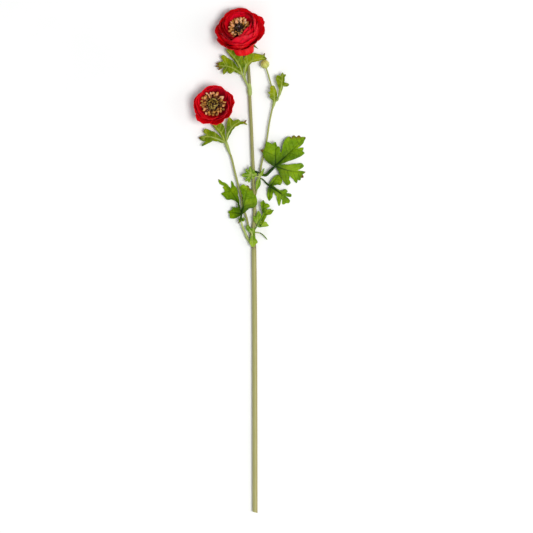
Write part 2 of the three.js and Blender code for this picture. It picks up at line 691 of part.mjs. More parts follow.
function petalPoint(petal, line, u, v, offset) {
  const s = u * (1 - (petal.round ?? TIP_ROUND) * Math.abs(v) ** 2.6);
  const angle = petalAngle(petal, s);
  const k = Math.min(Math.floor(s * LINE_STEPS), LINE_STEPS - 1);
  const [radius, height] = [0, 1]
    .map((n) => THREE.MathUtils.lerp(line[k][n], line[k + 1][n], s * LINE_STEPS - k));
  const swell = Math.sin(Math.PI * (PETAL_SWELL.from + PETAL_SWELL.over * s));
  const width = petal.halfWidth * swell ** PETAL_SWELL.power;
  const open = THREE.MathUtils.smoothstep(s, ...PETAL_OPENS);
  const turn = Math.min(width / radius, THREE.MathUtils.lerp(petal.claw, WIDEST_TURN, open));
  const shift = petal.tuck * open * v
    + petal.wave * s * s * Math.sin(2.6 * Math.PI * v + petal.phase)
    + offset;
  const azimuth = petal.azimuth + turn * v;
  const r = radius - shift * Math.sin(angle);
  return new THREE.Vector3(r * Math.cos(azimuth), r * Math.sin(azimuth), height + shift * Math.cos(angle));
}

function petalSolid(petal, place) {
  const { across } = PETAL_STEPS;
  const along = petal.rise[1] - petal.rise[0] > CURLED ? PETAL_STEPS.curled : PETAL_STEPS.along;
  const line = petalLine(petal);
  const row = across + 1;
  const half = PETAL_THICKNESS / 2;
  const points = [];
  for (const offset of [half, -half]) {
    for (let i = 0; i <= along; i += 1) {
      for (let j = 0; j <= across; j += 1) {
        const p = place(petalPoint(petal, line, i / along, (2 * j) / across - 1, offset));
        p.z = Math.max(p.z, offset > 0 ? PETAL_THICKNESS : 0);
        points.push(p);
      }
    }
  }
  const n = (along + 1) * row;
  const triangles = [];
  for (let i = 0; i < along; i += 1) {
    for (let j = 0; j < across; j += 1) {
      const a = i * row + j;
      const [b, c, d] = [a + 1, a + row, a + row + 1];
      triangles.push([a, c, b], [b, c, d], [a + n, b + n, c + n], [b + n, d + n, c + n]);
    }
  }
  const rim = [];
  for (let j = 0; j < across; j += 1) rim.push(j);
  for (let i = 0; i < along; i += 1) rim.push(i * row + across);
  for (let j = across; j > 0; j -= 1) rim.push(along * row + j);
  for (let i = along; i > 0; i -= 1) rim.push(i * row);
  rim.forEach((a, i) => {
    const b = rim[(i + 1) % rim.length];
    triangles.push([a, b, a + n], [b, b + n, a + n]);
  });
  return solid(points, triangles);
}

// Whorls from the outside in: count, turn of the first petal, and one petal's shape. The
// petals on the side that the bloom turns to the eye, towards, have the second length and
// nearRise, and curl over the ones inside them. The outermost petals are listed one by one.
const LARGE_PETALS = {
  whorls: [
    {
      count: 5, first: 20, root: [4.8, 1.6], length: [24.8, 32.1], halfWidth: 17.0,
      rise: [8, 64], nearRise: [-36, 131], towards: -88, tuck: 0.6, wave: 0.25,
    },
    {
      count: 4, first: 30, root: [5.4, 4.2], length: [21.6, 32.3], halfWidth: 16.0,
      rise: [22, 90], nearRise: [-36, 154], towards: -60, tuck: 0.5, wave: 0.2,
    },
    {
      count: 4, first: -22, root: [6.8, 7.4], length: [15.8, 22.5], halfWidth: 11.0,
      rise: [30, 90], nearRise: [8, 132], towards: -65, tuck: 0.4, wave: 0.2,
    },
  ],
  outer: { root: [4.5, 0.4], tuck: 0.6, wave: 0.4, claw: 0.5 },
  outerPetals: [ // azimuth, length, half width, rise at the root and at the tip
    [30, 28.2, 13, 2, 36], [84, 24.6, 17.5, 2, 42], [140, 23.2, 16, 2, 44], [190, 28.4, 16, -10, 62],
    [232, 35.5, 16, -30, 90], [-92, 31.6, 16, -38, 112], [-48, 30.5, 16, -34, 92], [-8, 28.5, 13, -12, 52],
  ],
  drooping: [{
    azimuth: -80, root: [4.5, -0.4], length: 26, halfWidth: 12.5, rise: [-8, -48],
    tuck: 0.3, wave: 0.6, claw: 0.5, phase: 0.6, round: 0.08,
  }],
  core: [[0, -1.4], [4.6, -1.4], [7.4, 1.4], [8.0, 5.0], [7.8, 8.6], [0, 8.6]],
};
const SMALL_PETALS = {
  whorls: [
    {
      count: 5, first: 12, root: [4.6, 2.0], length: [23, 24], halfWidth: 13.5,
      rise: [8, 84], nearRise: [8, 84], towards: -60, tuck: 0.8, wave: 0.25,
    },
    {
      count: 4, first: 48, root: [5.9, 3.4], length: [18.5, 20], halfWidth: 14.5,
      rise: [10, 84], nearRise: [10, 84], towards: -60, tuck: 0.5, wave: 0.2,
    },
  ],
  outer: { root: [4.2, 0.4], tuck: 0.8, wave: 0.3, claw: 0.4, round: 0.16 },
  outerPetals: [
    [-75, 26.2, 10, 2, 66], [-124, 27.8, 11, 2, 66], [-175, 23.0, 14, 2, 66], [122, 21.4, 13, 2, 72],
    [76, 22.0, 13, 2, 66], [14, 25.4, 12, 2, 66], [-27, 25.0, 10, 2, 66],
  ],
  drooping: [],
  core: [[0, -1.4], [4.4, -1.4], [7.0, 1.2], [7.6, 3.6], [7.4, 5.4], [0, 5.4]],
};

function placer(bloom) {
  const turn = new THREE.Quaternion()
    .setFromUnitVectors(new THREE.Vector3(0, 0, 1), vec(bloom.axis).normalize());
  return (p) => p.applyQuaternion(turn).add(vec(bloom.base));
}

function lathe(profile, sides, place) {
  const geometry = new THREE.LatheGeometry(profile.map(([r, h]) => new THREE.Vector2(r, h)), sides);
  geometry.rotateX(Math.PI / 2);
  const position = geometry.attributes.position;
  for (let i = 0; i < position.count; i += 1) {
    const p = place(new THREE.Vector3().fromBufferAttribute(position, i));
    position.setXYZ(i, p.x, p.y, p.z);
  }
  return solidOf(geometry);
}

function whorlPetals(whorl) {
  return Array.from({ length: whorl.count }, (_, i) => {
    const stray = PETAL_DRAW.degrees * Math.sin(3.1 * i + whorl.first);
    const degrees = whorl.first + (360 * i) / whorl.count + stray;
    const facing = Math.cos(THREE.MathUtils.degToRad(degrees - whorl.towards));
    const near = THREE.MathUtils.smoothstep(facing, -0.3, 0.9);
    const length = THREE.MathUtils.lerp(...whorl.length, near);
    return {
      ...whorl,
      length: length * (1 + PETAL_DRAW.length * Math.sin(5.3 * i + whorl.first)),
      rise: [0, 1].map((k) => THREE.MathUtils.lerp(whorl.rise[k], whorl.nearRise[k], near)),
      azimuth: degrees, claw: (CLAW_SHARE * Math.PI) / whorl.count, phase: 1.7 * i + whorl.first,
    };
  });
}

function petalsSolid(bloom, { whorls, outer, outerPetals, drooping, core }) {
  const place = placer(bloom);
  const petals = [
    ...whorls.flatMap(whorlPetals),
    ...outerPetals.map(([azimuth, length, halfWidth, ...rise], i) => (
      { ...outer, azimuth, length, halfWidth, rise, phase: 1.7 * i })),
    ...drooping,
  ];
  return fuse([lathe(core, LATHE_SIDES, place), ...petals.map((petal) => petalSolid(
    { ...petal, azimuth: THREE.MathUtils.degToRad(petal.azimuth) }, place))]);
}

// Stamens stand in a ring on a low cushion: a thin filament and a long flat anther each.
const STAMEN_SIDES = 3;
const STAMEN_DRAW = { turn: 0.28, reach: 0.05 }; // how far they stray from an even ring
const LARGE_STAMENS = {
  count: 25, cushion: [[0, 8.9], [7.6, 8.9], [8.4, 10.6], [7.6, 12.2], [0, 12.2]],
  foot: [6.6, 11.4], knee: [9.0, 14.8], head: [12.3, 18.0], filament: 0.45, anther: 1.0,
};
const SMALL_STAMENS = {
  count: 26, cushion: [[0, 5.7], [7.2, 5.7], [8.4, 7.2], [7.8, 8.4], [0, 8.4]],
  foot: [6.8, 7.6], knee: [10.2, 10.2], head: [13.7, 12.6], filament: 0.45, anther: 1.05,
};

function stamensSolid(bloom, stamens) {
  const place = placer(bloom);
  const parts = [lathe(stamens.cushion, CUSHION_SIDES, place)];
  for (let i = 0; i < stamens.count; i += 1) {
    const turn = ((i + STAMEN_DRAW.turn * Math.sin(7.7 * i)) / stamens.count) * Math.PI * 2;
    const reach = 1 + STAMEN_DRAW.reach * Math.sin(4.9 * i);
    const at = ([r, h], radius, far = 1) => {
      const p = place(new THREE.Vector3(r * far * Math.cos(turn), r * far * Math.sin(turn), h));
      return [p.x, p.y, p.z, radius];
    };
    const middle = [0, 1].map((k) => (stamens.knee[k] + stamens.head[k]) / 2);
    parts.push(tube([
      at(stamens.foot, stamens.filament), at(stamens.knee, stamens.filament),
      at(middle, stamens.anther, reach), at(stamens.head, stamens.filament, reach),
    ], STAMEN_SIDES, 1));
  }
  return fuse(parts);
}

// The carpels make one dome of ridges in the middle of the bloom.
const CARPEL_DOME = [[0, 0], [0.94, 0], [1, 0.16], [0.94, 0.44], [0.72, 0.74], [0.4, 0.94], [0, 1]];
const LARGE_CARPELS = { radius: 5.2, foot: 12.5, height: 5.4, ridges: 9, relief: 0.35 };
const SMALL_CARPELS = { radius: 5.6, foot: 8.7, height: 5.6, ridges: 9, relief: 0.4 };

function carpelsSolid(bloom, carpels) {
  const place = placer(bloom);
  const profile = CARPEL_DOME.map(([r, h]) => new THREE.Vector2(r * carpels.radius, h * carpels.height));
  const geometry = new THREE.LatheGeometry(profile, 2 * carpels.ridges);
  geometry.rotateX(Math.PI / 2);
  const position = geometry.attributes.position;
  for (let i = 0; i < position.count; i += 1) {
    const p = new THREE.Vector3().fromBufferAttribute(position, i);
    const radius = Math.hypot(p.x, p.y);
    const wave = 1 + Math.cos(carpels.ridges * Math.atan2(p.y, p.x));
    const swell = 1 - (carpels.relief / carpels.radius) * wave;
    if (radius > 1e-6 && p.z > 1e-6) p.set(p.x * swell, p.y * swell, p.z);
    p.z += carpels.foot;
    place(p);
    position.setXYZ(i, p.x, p.y, p.z);
  }
  return solidOf(geometry);
}

// The calyx is a ring with five narrow sepals bent back under the petals.
const LARGE_CALYX = {
  ring: [[0, -3.6], [3.9, -3.4], [4.6, -2.4], [4.2, -1.7], [0, -1.7]],
  length: 11, first: 54,
};
const SMALL_CALYX = {
  ring: [[0, -3.8], [3.6, -3.6], [4.3, -2.5], [3.9, -1.7], [0, -1.7]],
  length: 12, first: 18,
};
const SEPALS = 5;
const SEPAL = { root: [3, -2.5], halfWidth: 3.1, fall: [-14, -44], steps: 2, arch: 0.3 };

function sepalSolid(calyx, azimuth, place) {
  const sheet = [];
  const faces = [];
  for (let i = 0; i <= SEPAL.steps; i += 1) {
    const s = i / SEPAL.steps;
    const angle = THREE.MathUtils.degToRad(THREE.MathUtils.lerp(SEPAL.fall[0], SEPAL.fall[1], s / 2));
    const r = SEPAL.root[0] + calyx.length * s * Math.cos(angle);
    const h = SEPAL.root[1] + calyx.length * s * Math.sin(angle);
    const half = SEPAL.halfWidth * Math.sin(Math.PI * (0.3 + 0.66 * s));
    for (const side of [-1, 0, 1]) {
      const p = new THREE.Vector3(r, half * side, h - SEPAL.arch * Math.abs(side));
      sheet.push(place(p.applyAxisAngle(new THREE.Vector3(0, 0, 1), azimuth)));
    }
  }
  for (let i = 0; i < SEPAL.steps; i += 1) {
    for (const k of [0, 1]) {
      const a = i * 3 + k;
      faces.push([a, a + 3, a + 1], [a + 1, a + 3, a + 4]);
    }
  }
  const end = SEPAL.steps * 3;
  const border = [0, 3, end, end + 1, end + 2, 5, 2, 1];
  return slab(sheet, faces, border, BRACT_THICKNESS);
}

function calyxSolid(bloom, calyx) {
  const place = placer(bloom);
  const parts = [lathe(calyx.ring, LATHE_SIDES, place)];
  for (let i = 0; i < SEPALS; i += 1) {
    parts.push(sepalSolid(calyx, THREE.MathUtils.degToRad(calyx.first + (360 * i) / SEPALS), place));
  }
  return fuse(parts);
}

// The bud is a ball of closed sepals with shallow seams between them.
const BUD = { around: 20, along: 8, seam: 0.05, lean: [-0.3, 0.78, 0.55] };

function budSolid() {
  const geometry = new THREE.SphereGeometry(BUD_RADIUS, BUD.around, BUD.along);
  geometry.rotateX(Math.PI / 2);
  const position = geometry.attributes.position;
  const lean = new THREE.Quaternion()
    .setFromUnitVectors(new THREE.Vector3(0, 0, 1), vec(BUD.lean).normalize());
  for (let i = 0; i < position.count; i += 1) {
    const p = new THREE.Vector3().fromBufferAttribute(position, i);
    const ring = Math.hypot(p.x, p.y) / BUD_RADIUS;
    const seam = 1 - BUD.seam * ring * Math.abs(Math.sin((SEPALS / 2) * Math.atan2(p.y, p.x))) ** 6;
    p.multiplyScalar(seam).applyQuaternion(lean).add(vec(BUD_CENTRE));
    position.setXYZ(i, p.x, p.y, p.z);
  }
  return solidOf(geometry);
}

const spray = new THREE.Group();
const stem = stemSolid(0);
const stemRoom = stemSolid(CLEARANCE);

// Pieces that grow on the stem are cut back to its surface, a clearance away.
function fitted(body) {
  return largest(body.subtract(stemRoom));
}

spray.add(meshOf('stem', stem, COLOURS.stem, 0.6));
for (const [name, leaf] of Object.entries(LEAVES)) {
  const colour = name.startsWith('bracts') ? COLOURS.bract : COLOURS.leaf;
  spray.add(meshOf(name, fitted(leafSolid(leaf)), colour, 0.55));
}
spray.add(meshOf('leaf_edgewise', fitted(edgewiseSolid()), COLOURS.leaf, 0.55));
spray.add(meshOf('bud', fitted(budSolid()), COLOURS.bud, 0.6));

spray.add(meshOf('large_bloom_petals',
  fitted(petalsSolid(LARGE_BLOOM, LARGE_PETALS)), COLOURS.petal, 0.6));
spray.add(meshOf('large_bloom_stamens', stamensSolid(LARGE_BLOOM, LARGE_STAMENS), COLOURS.stamen, 0.7));
spray.add(meshOf('large_bloom_carpels', carpelsSolid(LARGE_BLOOM, LARGE_CARPELS), COLOURS.carpel, 0.7));
spray.add(meshOf('large_bloom_calyx', fitted(calyxSolid(LARGE_BLOOM, LARGE_CALYX)), COLOURS.bract, 0.6));

spray.add(meshOf('small_bloom_petals',
  fitted(petalsSolid(SMALL_BLOOM, SMALL_PETALS)), COLOURS.petal, 0.6));
spray.add(meshOf('small_bloom_stamens', stamensSolid(SMALL_BLOOM, SMALL_STAMENS), COLOURS.stamen, 0.7));
spray.add(meshOf('small_bloom_carpels', carpelsSolid(SMALL_BLOOM, SMALL_CARPELS), COLOURS.carpel, 0.7));
spray.add(meshOf('small_bloom_calyx', fitted(calyxSolid(SMALL_BLOOM, SMALL_CALYX)), COLOURS.bract, 0.6));

// The origin moves to the middle of the footprint, on the table.
const box = new THREE.Box3().setFromObject(spray);
const middle = box.getCenter(new THREE.Vector3());
spray.position.set(-middle.x, -middle.y, -box.min.z);

export default spray;
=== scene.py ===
# Persian buttercup spray lying on a pale floor: fine petals, stamens, leaves and stems
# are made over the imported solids. Sizes are in millimetres, measured from the cut end.
import math
import random

import bmesh
import bpy
import numpy as np
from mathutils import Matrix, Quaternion, Vector, geometry, noise


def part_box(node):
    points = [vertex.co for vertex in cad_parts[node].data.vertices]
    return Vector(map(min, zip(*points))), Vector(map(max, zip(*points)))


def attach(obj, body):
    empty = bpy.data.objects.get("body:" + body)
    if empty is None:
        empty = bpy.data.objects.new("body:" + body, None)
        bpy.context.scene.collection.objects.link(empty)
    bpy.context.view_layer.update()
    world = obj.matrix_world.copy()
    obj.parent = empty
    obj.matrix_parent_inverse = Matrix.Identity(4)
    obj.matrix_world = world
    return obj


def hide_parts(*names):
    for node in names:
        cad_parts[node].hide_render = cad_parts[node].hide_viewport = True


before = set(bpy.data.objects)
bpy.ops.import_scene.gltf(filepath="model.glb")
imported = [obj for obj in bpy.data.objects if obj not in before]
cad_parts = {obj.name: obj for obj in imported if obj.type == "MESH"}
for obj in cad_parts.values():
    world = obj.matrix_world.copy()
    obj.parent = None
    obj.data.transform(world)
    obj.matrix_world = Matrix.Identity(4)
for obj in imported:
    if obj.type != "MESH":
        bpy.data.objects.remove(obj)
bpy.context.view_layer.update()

mm = 0.001
smoothAngle = math.radians(50)  # an edge that turns by more than this stays sharp
stemLowCorner = (-50.636, -0.879)  # the stem's low corner, measured from its cut end
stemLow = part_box("stem")[0]
shift = Vector((stemLow.x / mm - stemLowCorner[0], stemLow.y / mm - stemLowCorner[1], 0))


def toRow(point):  # from millimetres off the cut end to the part's own metres
    return (Vector(point) + shift) * mm


def smoothStep(value, low, high):
    t = min(max((value - low) / (high - low), 0.0), 1.0)
    return t * t * (3 - 2 * t)


def deselectAll():
    if bpy.context.object and bpy.context.object.mode != "OBJECT":
        bpy.ops.object.mode_set(mode="OBJECT")
    bpy.ops.object.select_all(action="DESELECT")


def selectOnly(piece):
    deselectAll()
    piece.select_set(True)
    bpy.context.view_layer.objects.active = piece


def addSheet(name, across, along, size=2):  # a flat grid from -1 to 1, or of a size in metres
    deselectAll()
    bpy.ops.mesh.primitive_grid_add(x_subdivisions=across, y_subdivisions=along, size=size)
    piece = bpy.context.object
    piece.name = name
    return piece


def thicken(piece, thickness):  # a sheet gets its thickness, half to each side
    selectOnly(piece)
    modifier = piece.modifiers.new("Solidify", "SOLIDIFY")
    modifier.thickness = thickness * mm
    modifier.offset = 0.0
    bpy.ops.object.modifier_apply(modifier=modifier.name)


def meshPiece(name, points, faces):  # points in millimetres off the cut end
    mesh = bpy.data.meshes.new(name)
    mesh.from_pydata([toRow(p) for p in points], [], faces)
    piece = bpy.data.objects.new(name, mesh)
    bpy.context.collection.objects.link(piece)
    return piece


def mark(piece, values):  # one colour per vertex: what the materials read as "marks"
    layer = piece.data.color_attributes.new("marks", "FLOAT_COLOR", "POINT")
    flat = [channel for value in values for channel in (*value, 1.0)]
    layer.data.foreach_set("color", flat)


def joined(name, parts):
    deselectAll()
    for part in parts:
        part.select_set(True)
    bpy.context.view_layer.objects.active = parts[0]
    if len(parts) > 1:
        bpy.ops.object.join()
    piece = bpy.context.object
    piece.name = name
    bpy.ops.object.shade_smooth_by_angle(angle=smoothAngle)
    return piece


def dress(node, parts):  # the parts, joined, stand for a solid of the part
    piece = joined(node + "_fine", parts)
    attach(piece, "root")
    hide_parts(node)
    print("made", piece.name, len(piece.data.polygons), "faces")


def linear(hexText):  # sRGB hex to the linear values that the shader wants
    values = [int(hexText[i:i + 2], 16) / 255 for i in (0, 2, 4)]
    return (*[v / 12.92 if v <= 0.04045 else ((v + 0.055) / 1.055) ** 2.4 for v in values], 1)


def addNode(tree, kind, settings=None, links=None):  # a link's source is a socket, or a node's first output
    node = tree.nodes.new("ShaderNode" + kind)
    for key, value in (settings or {}).items():
        if key == "stops":
            ramp = node.color_ramp.elements
            for stop, (place, colour) in enumerate(value):
                element = ramp[stop] if stop < 2 else ramp.new(place)
                element.position = place
                element.color = linear(colour)
        elif isinstance(value, str) and key.startswith("Color"):
            node.inputs[key].default_value = linear(value)
        elif hasattr(node, key):
            setattr(node, key, value)
        else:
            node.inputs[key].default_value = value
    for key, source in (links or {}).items():
        tree.links.new(source.outputs[0] if isinstance(source, bpy.types.Node) else source, node.inputs[key])
    return node


def newMaterial(name, settings):  # with the three channels of "marks" and the place on the object
    material = bpy.data.materials.new(name)
    material.use_nodes = True
    tree = material.node_tree
    for key, value in settings.items():
        tree.nodes["Principled BSDF"].inputs[key].default_value = value
    marks = addNode(tree, "Attribute", {"attribute_name": "marks"})
    split = addNode(tree, "SeparateColor", None, {"Color": marks.outputs["Color"]})
    place = addNode(tree, "TexCoord").outputs["Object"]
    return material, tree, split.outputs, place


# Lays a colour over another. The span holds two values of the mask, and how much of the
# colour shows at each.
def tinted(tree, under, colour, mask, span):
    names = ("From Min", "From Max", "To Min", "To Max")
    share = addNode(tree, "MapRange", dict(zip(names, span)), {"Value": mask})
    return addNode(tree, "MixRGB", {"Color2": colour}, {"Fac": share, "Color1": under})


def finish(tree, skin, height=None, strength=0.5, depth=0.0003):  # the colour, and the relief if there is one
    shader = tree.nodes["Principled BSDF"]
    tree.links.new(skin.outputs[0], shader.inputs["Base Color"])
    if height:
        bump = addNode(tree, "Bump", {"Strength": strength, "Distance": depth}, {"Height": height})
        tree.links.new(bump.outputs[0], shader.inputs["Normal"])


# Fresh petal: thin and waxy with a satin sheen, deep red at the root, brighter at the rim,
# with fine lengthwise streaks. The deep red at the root is partly the petal's own tone and
# partly painted shade deep in the bloom. marks: share of the length, edge, and how far the
# petal takes the crimson ramp, which holds painted shade in the small bloom.
def petalMaterial(values):
    material, tree, marks, place = newMaterial(values["name"], {
        "Roughness": 0.5, "Specular IOR Level": 0.15, "Subsurface Weight": 0.3,
        "Subsurface Radius": (1.0, 0.08, 0.06), "Subsurface Scale": 0.002})
    onPetal = addNode(tree, "UVMap", {"uv_map": "UVMap"})
    stretched = addNode(tree, "Mapping", {"Scale": (30, 1.5, 1)}, {"Vector": onPetal})  # 30 across a petal
    streaks = addNode(tree, "TexNoise", {"Scale": 1.0, "Detail": 4.0}, {"Vector": stretched})
    clouds = addNode(tree, "TexNoise", {"Scale": 160.0, "Detail": 3.0}, {"Vector": place})  # about 6 mm
    scarlet = addNode(tree, "ValToRGB", {"stops": values["body"]}, {"Fac": marks["Red"]})
    crimson = addNode(tree, "ValToRGB", {"stops": values["crimson"]}, {"Fac": marks["Red"]})
    body = addNode(tree, "MixRGB", None, {"Fac": marks["Blue"], "Color1": scarlet, "Color2": crimson})
    light = tinted(tree, body, values["light"], streaks, (0.48, 0.75, 0, 0.5))
    dark = tinted(tree, light, values["dark"], streaks, (0.45, 0.22, 0, 0.6))
    # darker patches of about 6 mm: painted shade of creases
    deep = tinted(tree, dark, values["paintedCreaseShade"], clouds, (0.45, 0.7, 0, 0.45))
    # the rim colour along the edges: a painted shadow line between layers in the large bloom, a painted
    # highlight in the small
    skin = tinted(tree, deep, values["rim"], marks["Green"], (0, 1, 0, values["edge"]))
    finish(tree, skin, streaks, 0.4, 0.0002)
    return material


# Leaf blade: satin green skin over a net of veins, brown where a tip has dried, and darker
# towards the palm, which is painted shade. The grain and the net are drawn at 1.5 mm, coarser
# than real, so that they show. marks: vein, dried, share of the way from the palm to the tip.
def bladeMaterial(values):
    material, tree, marks, place = newMaterial(values["name"], {
        "Roughness": 0.5, "Specular IOR Level": 0.07, "Subsurface Weight": 0.06,
        "Subsurface Radius": (0.3, 0.8, 0.1), "Subsurface Scale": 0.0008})
    patches = addNode(tree, "TexNoise", {"Scale": 70.0, "Detail": 2.0}, {"Vector": place})  # about 14 mm
    grain = addNode(tree, "TexNoise", {"Scale": 650.0, "Detail": 2.0}, {"Vector": place})
    net = addNode(tree, "TexVoronoi", {"feature": "DISTANCE_TO_EDGE", "Scale": 620.0}, {"Vector": place})
    body = addNode(tree, "ValToRGB", {"stops": values["body"]}, {"Fac": patches})
    netted = tinted(tree, body, values["net"], net, (0, 0.12, 0.3, 0))
    flecked = tinted(tree, netted, values["fleck"], grain, (0.45, 0.7, 0, 0.3))
    # darker towards the palm: painted shade
    rooted = tinted(tree, flecked, values["root"], marks["Blue"], (0, 0.6, values["paintedRootShade"], 0))
    veined = addNode(tree, "MixRGB", {"Color2": values["vein"]}, {"Fac": marks["Red"], "Color1": rooted})
    dried = addNode(tree, "ValToRGB", {"stops": [(0.35, "40240c"), (0.6, "80502a")]}, {"Fac": grain})
    skin = addNode(tree, "MixRGB", None, {"Fac": marks["Green"], "Color1": veined, "Color2": dried})
    relief = addNode(tree, "MixRGB", {"Fac": 0.5}, {"Color1": net, "Color2": grain})
    finish(tree, skin, relief)
    return material


# Stalk and stem skin: ribbed green, paler at one side and browner at the other, speckled
# at a node. marks: share of the length, side, speckle.
def stemMaterial(values):
    material, tree, marks, place = newMaterial(values["name"], {
        "Roughness": 0.5, "Specular IOR Level": values["gloss"], "Subsurface Weight": 0.05,
        "Subsurface Radius": (0.5, 0.7, 0.2), "Subsurface Scale": 0.0012})
    longWay = addNode(tree, "Mapping", {"Scale": (1, 0.06, 1)}, {"Vector": place})
    ridges = addNode(tree, "TexNoise", {"Scale": 1000.0, "Detail": 3.0}, {"Vector": longWay})  # ribs of 1 mm
    mottle = addNode(tree, "TexNoise", {"Scale": 130.0, "Detail": 4.0}, {"Vector": longWay})  # about 8 mm
    dots = addNode(tree, "TexNoise", {"Scale": 800.0, "Detail": 2.0}, {"Vector": place})  # 1.2 mm, to show
    body = addNode(tree, "ValToRGB", {"stops": values["body"]}, {"Fac": marks["Red"]})
    patched = tinted(tree, body, values["blotch"], mottle, (0.4, 0.7, 0, 0.5))
    lined = tinted(tree, patched, values["ridge"], ridges, (0.4, 0.75, 0, 0.4))
    pale = tinted(tree, lined, "c4c08c", marks["Green"], (0, 0.35, values["edges"], 0))
    brown = tinted(tree, pale, "8a7040", marks["Green"], (0.6, 1, 0, values["edges"]))
    dotted = addNode(tree, "MapRange", {"From Min": 0.42, "From Max": 0.55}, {"Value": dots})
    speckle = addNode(tree, "Math", {"operation": "MULTIPLY"}, {0: dotted, 1: marks["Blue"]})
    skin = addNode(tree, "MixRGB", {"Color2": "4c3016"}, {"Fac": speckle, "Color1": brown})
    relief = addNode(tree, "MixRGB", {"Fac": 0.4}, {"Color1": ridges, "Color2": mottle})
    finish(tree, skin, relief)
    return material


# Dry matter in the middle of the bloom, dusted with pollen: matte, with a grain of about
# half a millimetre, far coarser than real pollen, so that it shows.
# marks: own tint, share of the length, groove.
def dustyMaterial(values):
    material, tree, marks, place = newMaterial(values["name"], {
        "Roughness": values["rough"], "Specular IOR Level": 0.12, "Subsurface Weight": 0.05,
        "Subsurface Radius": (0.8, 0.4, 0.2), "Subsurface Scale": 0.0006})
    pollen = addNode(tree, "TexNoise", {"Scale": values["grain"], "Detail": 2.0}, {"Vector": place})
    body = addNode(tree, "ValToRGB", {"stops": values["body"]}, {"Fac": marks["Red"]})
    dusted = tinted(tree, body, values["dust"], pollen, (0.42, 0.7, 0, values["dusting"]))
    footed = tinted(tree, dusted, values["pit"], marks["Green"], (*values["foot"], 0.95, 0))
    skin = tinted(tree, footed, values["pit"], marks["Blue"], (0, 1, 0, values["seam"]))
    finish(tree, skin, pollen, depth=0.0002)
    return material


# Bud: closed yellow-green sepals, olive where they meet, with a fine downy grain.
# marks: height in the bud, seam.
def budMaterial():
    material, tree, marks, place = newMaterial("closedBudSepals", {
        "Roughness": 0.5, "Specular IOR Level": 0.4, "Subsurface Weight": 0.1,
        "Subsurface Radius": (0.6, 0.8, 0.2), "Subsurface Scale": 0.001})
    grain = addNode(tree, "TexNoise", {"Scale": 1100.0, "Detail": 3.0}, {"Vector": place})  # about 1 mm
    stops = [(0.0, "90a03c"), (0.45, "b6bc54"), (0.78, "c2c05a"), (1.0, "c0b048")]
    body = addNode(tree, "ValToRGB", {"stops": stops}, {"Fac": marks["Red"]})
    toned = tinted(tree, body, "dcd890", grain, (0.4, 0.7, 0, 0.35))
    skin = tinted(tree, toned, "8a8834", marks["Green"], (0.2, 1, 0, 0.6))
    finish(tree, skin, grain, 0.3, 0.0002)
    return material


# Floor: white card with a faint mottle, so that the shadows have something to lie on
def floorMaterial():
    material, tree, _, place = newMaterial("whiteCardFloor", {"Roughness": 0.85, "Specular IOR Level": 0.2})
    mottle = addNode(tree, "TexNoise", {"Scale": 6.0, "Detail": 3.0}, {"Vector": place})
    skin = addNode(tree, "ValToRGB", {"stops": [(0.3, "f5f6f6"), (0.7, "fafafa")]}, {"Fac": mottle})
    finish(tree, skin)
    return material


# Leaf blades. A blade is a flat outline of lobes round its palm, filled with points about
# a millimetre apart, then raised to the lobes' heights, with grooves where its veins run.
bladeShape = {
    "thickness": 0.42, "least": 0.03,  # least: how low its underside may lie
    "edgeStep": 0.8, "edgeBulge": 0.07, "bulgeReach": 6,  # the outline between two corners
    "fill": 0.95, "rowShare": 0.87, "veinStep": 0.7, "veinGap": 0.45, "pointGap": 0.35,  # the net of points
    "toothBend": 0.25, "veinFoot": 0.04, "veinBack": 0.45, "veinSweep": 0.18, "veinSteps": 8,
    "ribWidth": (1.9, 0.3), "veinWidth": (0.42, 0.16), "veinTone": 0.6,  # widths at the foot and the end
    "ribGroove": 0.45, "veinGroove": 0.2, "grooveReach": 1.6,
    "arch": 0.8, "fold": 0.04, "wave": 0.35, "ripple": (0.37, 0.29, 0.8), "lobeBlend": 0.3,
    "pucker": 0.6, "puckerTurns": 0.42, "puckerFrom": 2,  # fine unevenness, none at the edge
    "curl": 0.8, "curlTurns": 0.16, "curlReach": 4,  # slow unevenness, most at the edge
    "driedReach": 1.25, "driedEdge": 0.35, "stalkSides": 8, "collarSides": 12,
}


def bezier(a, b, c, t):
    return (1 - t) ** 2 * a + 2 * t * (1 - t) * b + t * t * c


def ribLine(blade, lobe, steps=20):  # from the palm to the lobe's tip, past its via point
    palm, tip = np.array(blade["palm"][:2], float), np.array(lobe["tip"][:2], float)
    middle = np.array(lobe.get("via", (palm + tip) / 2), float)
    return np.array([bezier(palm, middle, tip, i / steps) for i in range(steps + 1)])


def lineDistance(places, line):  # distance to a line of points, and the share along it
    best = np.full(len(places), 1e9)
    share = np.zeros(len(places))
    for i in range(len(line) - 1):
        a, span = line[i], line[i + 1] - line[i]
        t = np.clip((places - a) @ span / max(span @ span, 1e-9), 0, 1)
        away = np.linalg.norm(places - a - t[:, None] * span, axis=1)
        closer = away < best
        best[closer] = away[closer]
        share[closer] = (i + t[closer]) / (len(line) - 1)
    return best, share


def cross2(a, b):
    return a[0] * b[1] - a[1] * b[0]


def bladeOutline(blade):  # the corners in order, their area, and the teeth with their lobes
    corners = [(np.array(blade["palm"][:2], float), None)]
    for lobe in blade["lobes"]:
        inner = [*lobe["climb"], lobe["tip"][:2], *lobe["fall"]]
        corners += [(np.array(p, float), lobe) for p in inner]
        if "sinus" in lobe:
            corners.append((np.array(lobe["sinus"], float), None))
    points = [p for p, lobe in corners]
    area = sum(cross2(points[i - 1], points[i]) for i in range(len(points)))
    teeth = []
    for i, (p, lobe) in enumerate(corners):
        before, after = points[i - 1], points[(i + 1) % len(points)]
        turn = cross2(p - before, after - p) * math.copysign(1, area)
        bend = abs(turn) / (np.linalg.norm(p - before) * np.linalg.norm(after - p) + 1e-9)
        sharp = turn > 0 and bend > bladeShape["toothBend"]
        if lobe and sharp and not np.allclose(p, lobe["tip"][:2]):
            teeth.append((p, lobe))
    return points, area, teeth


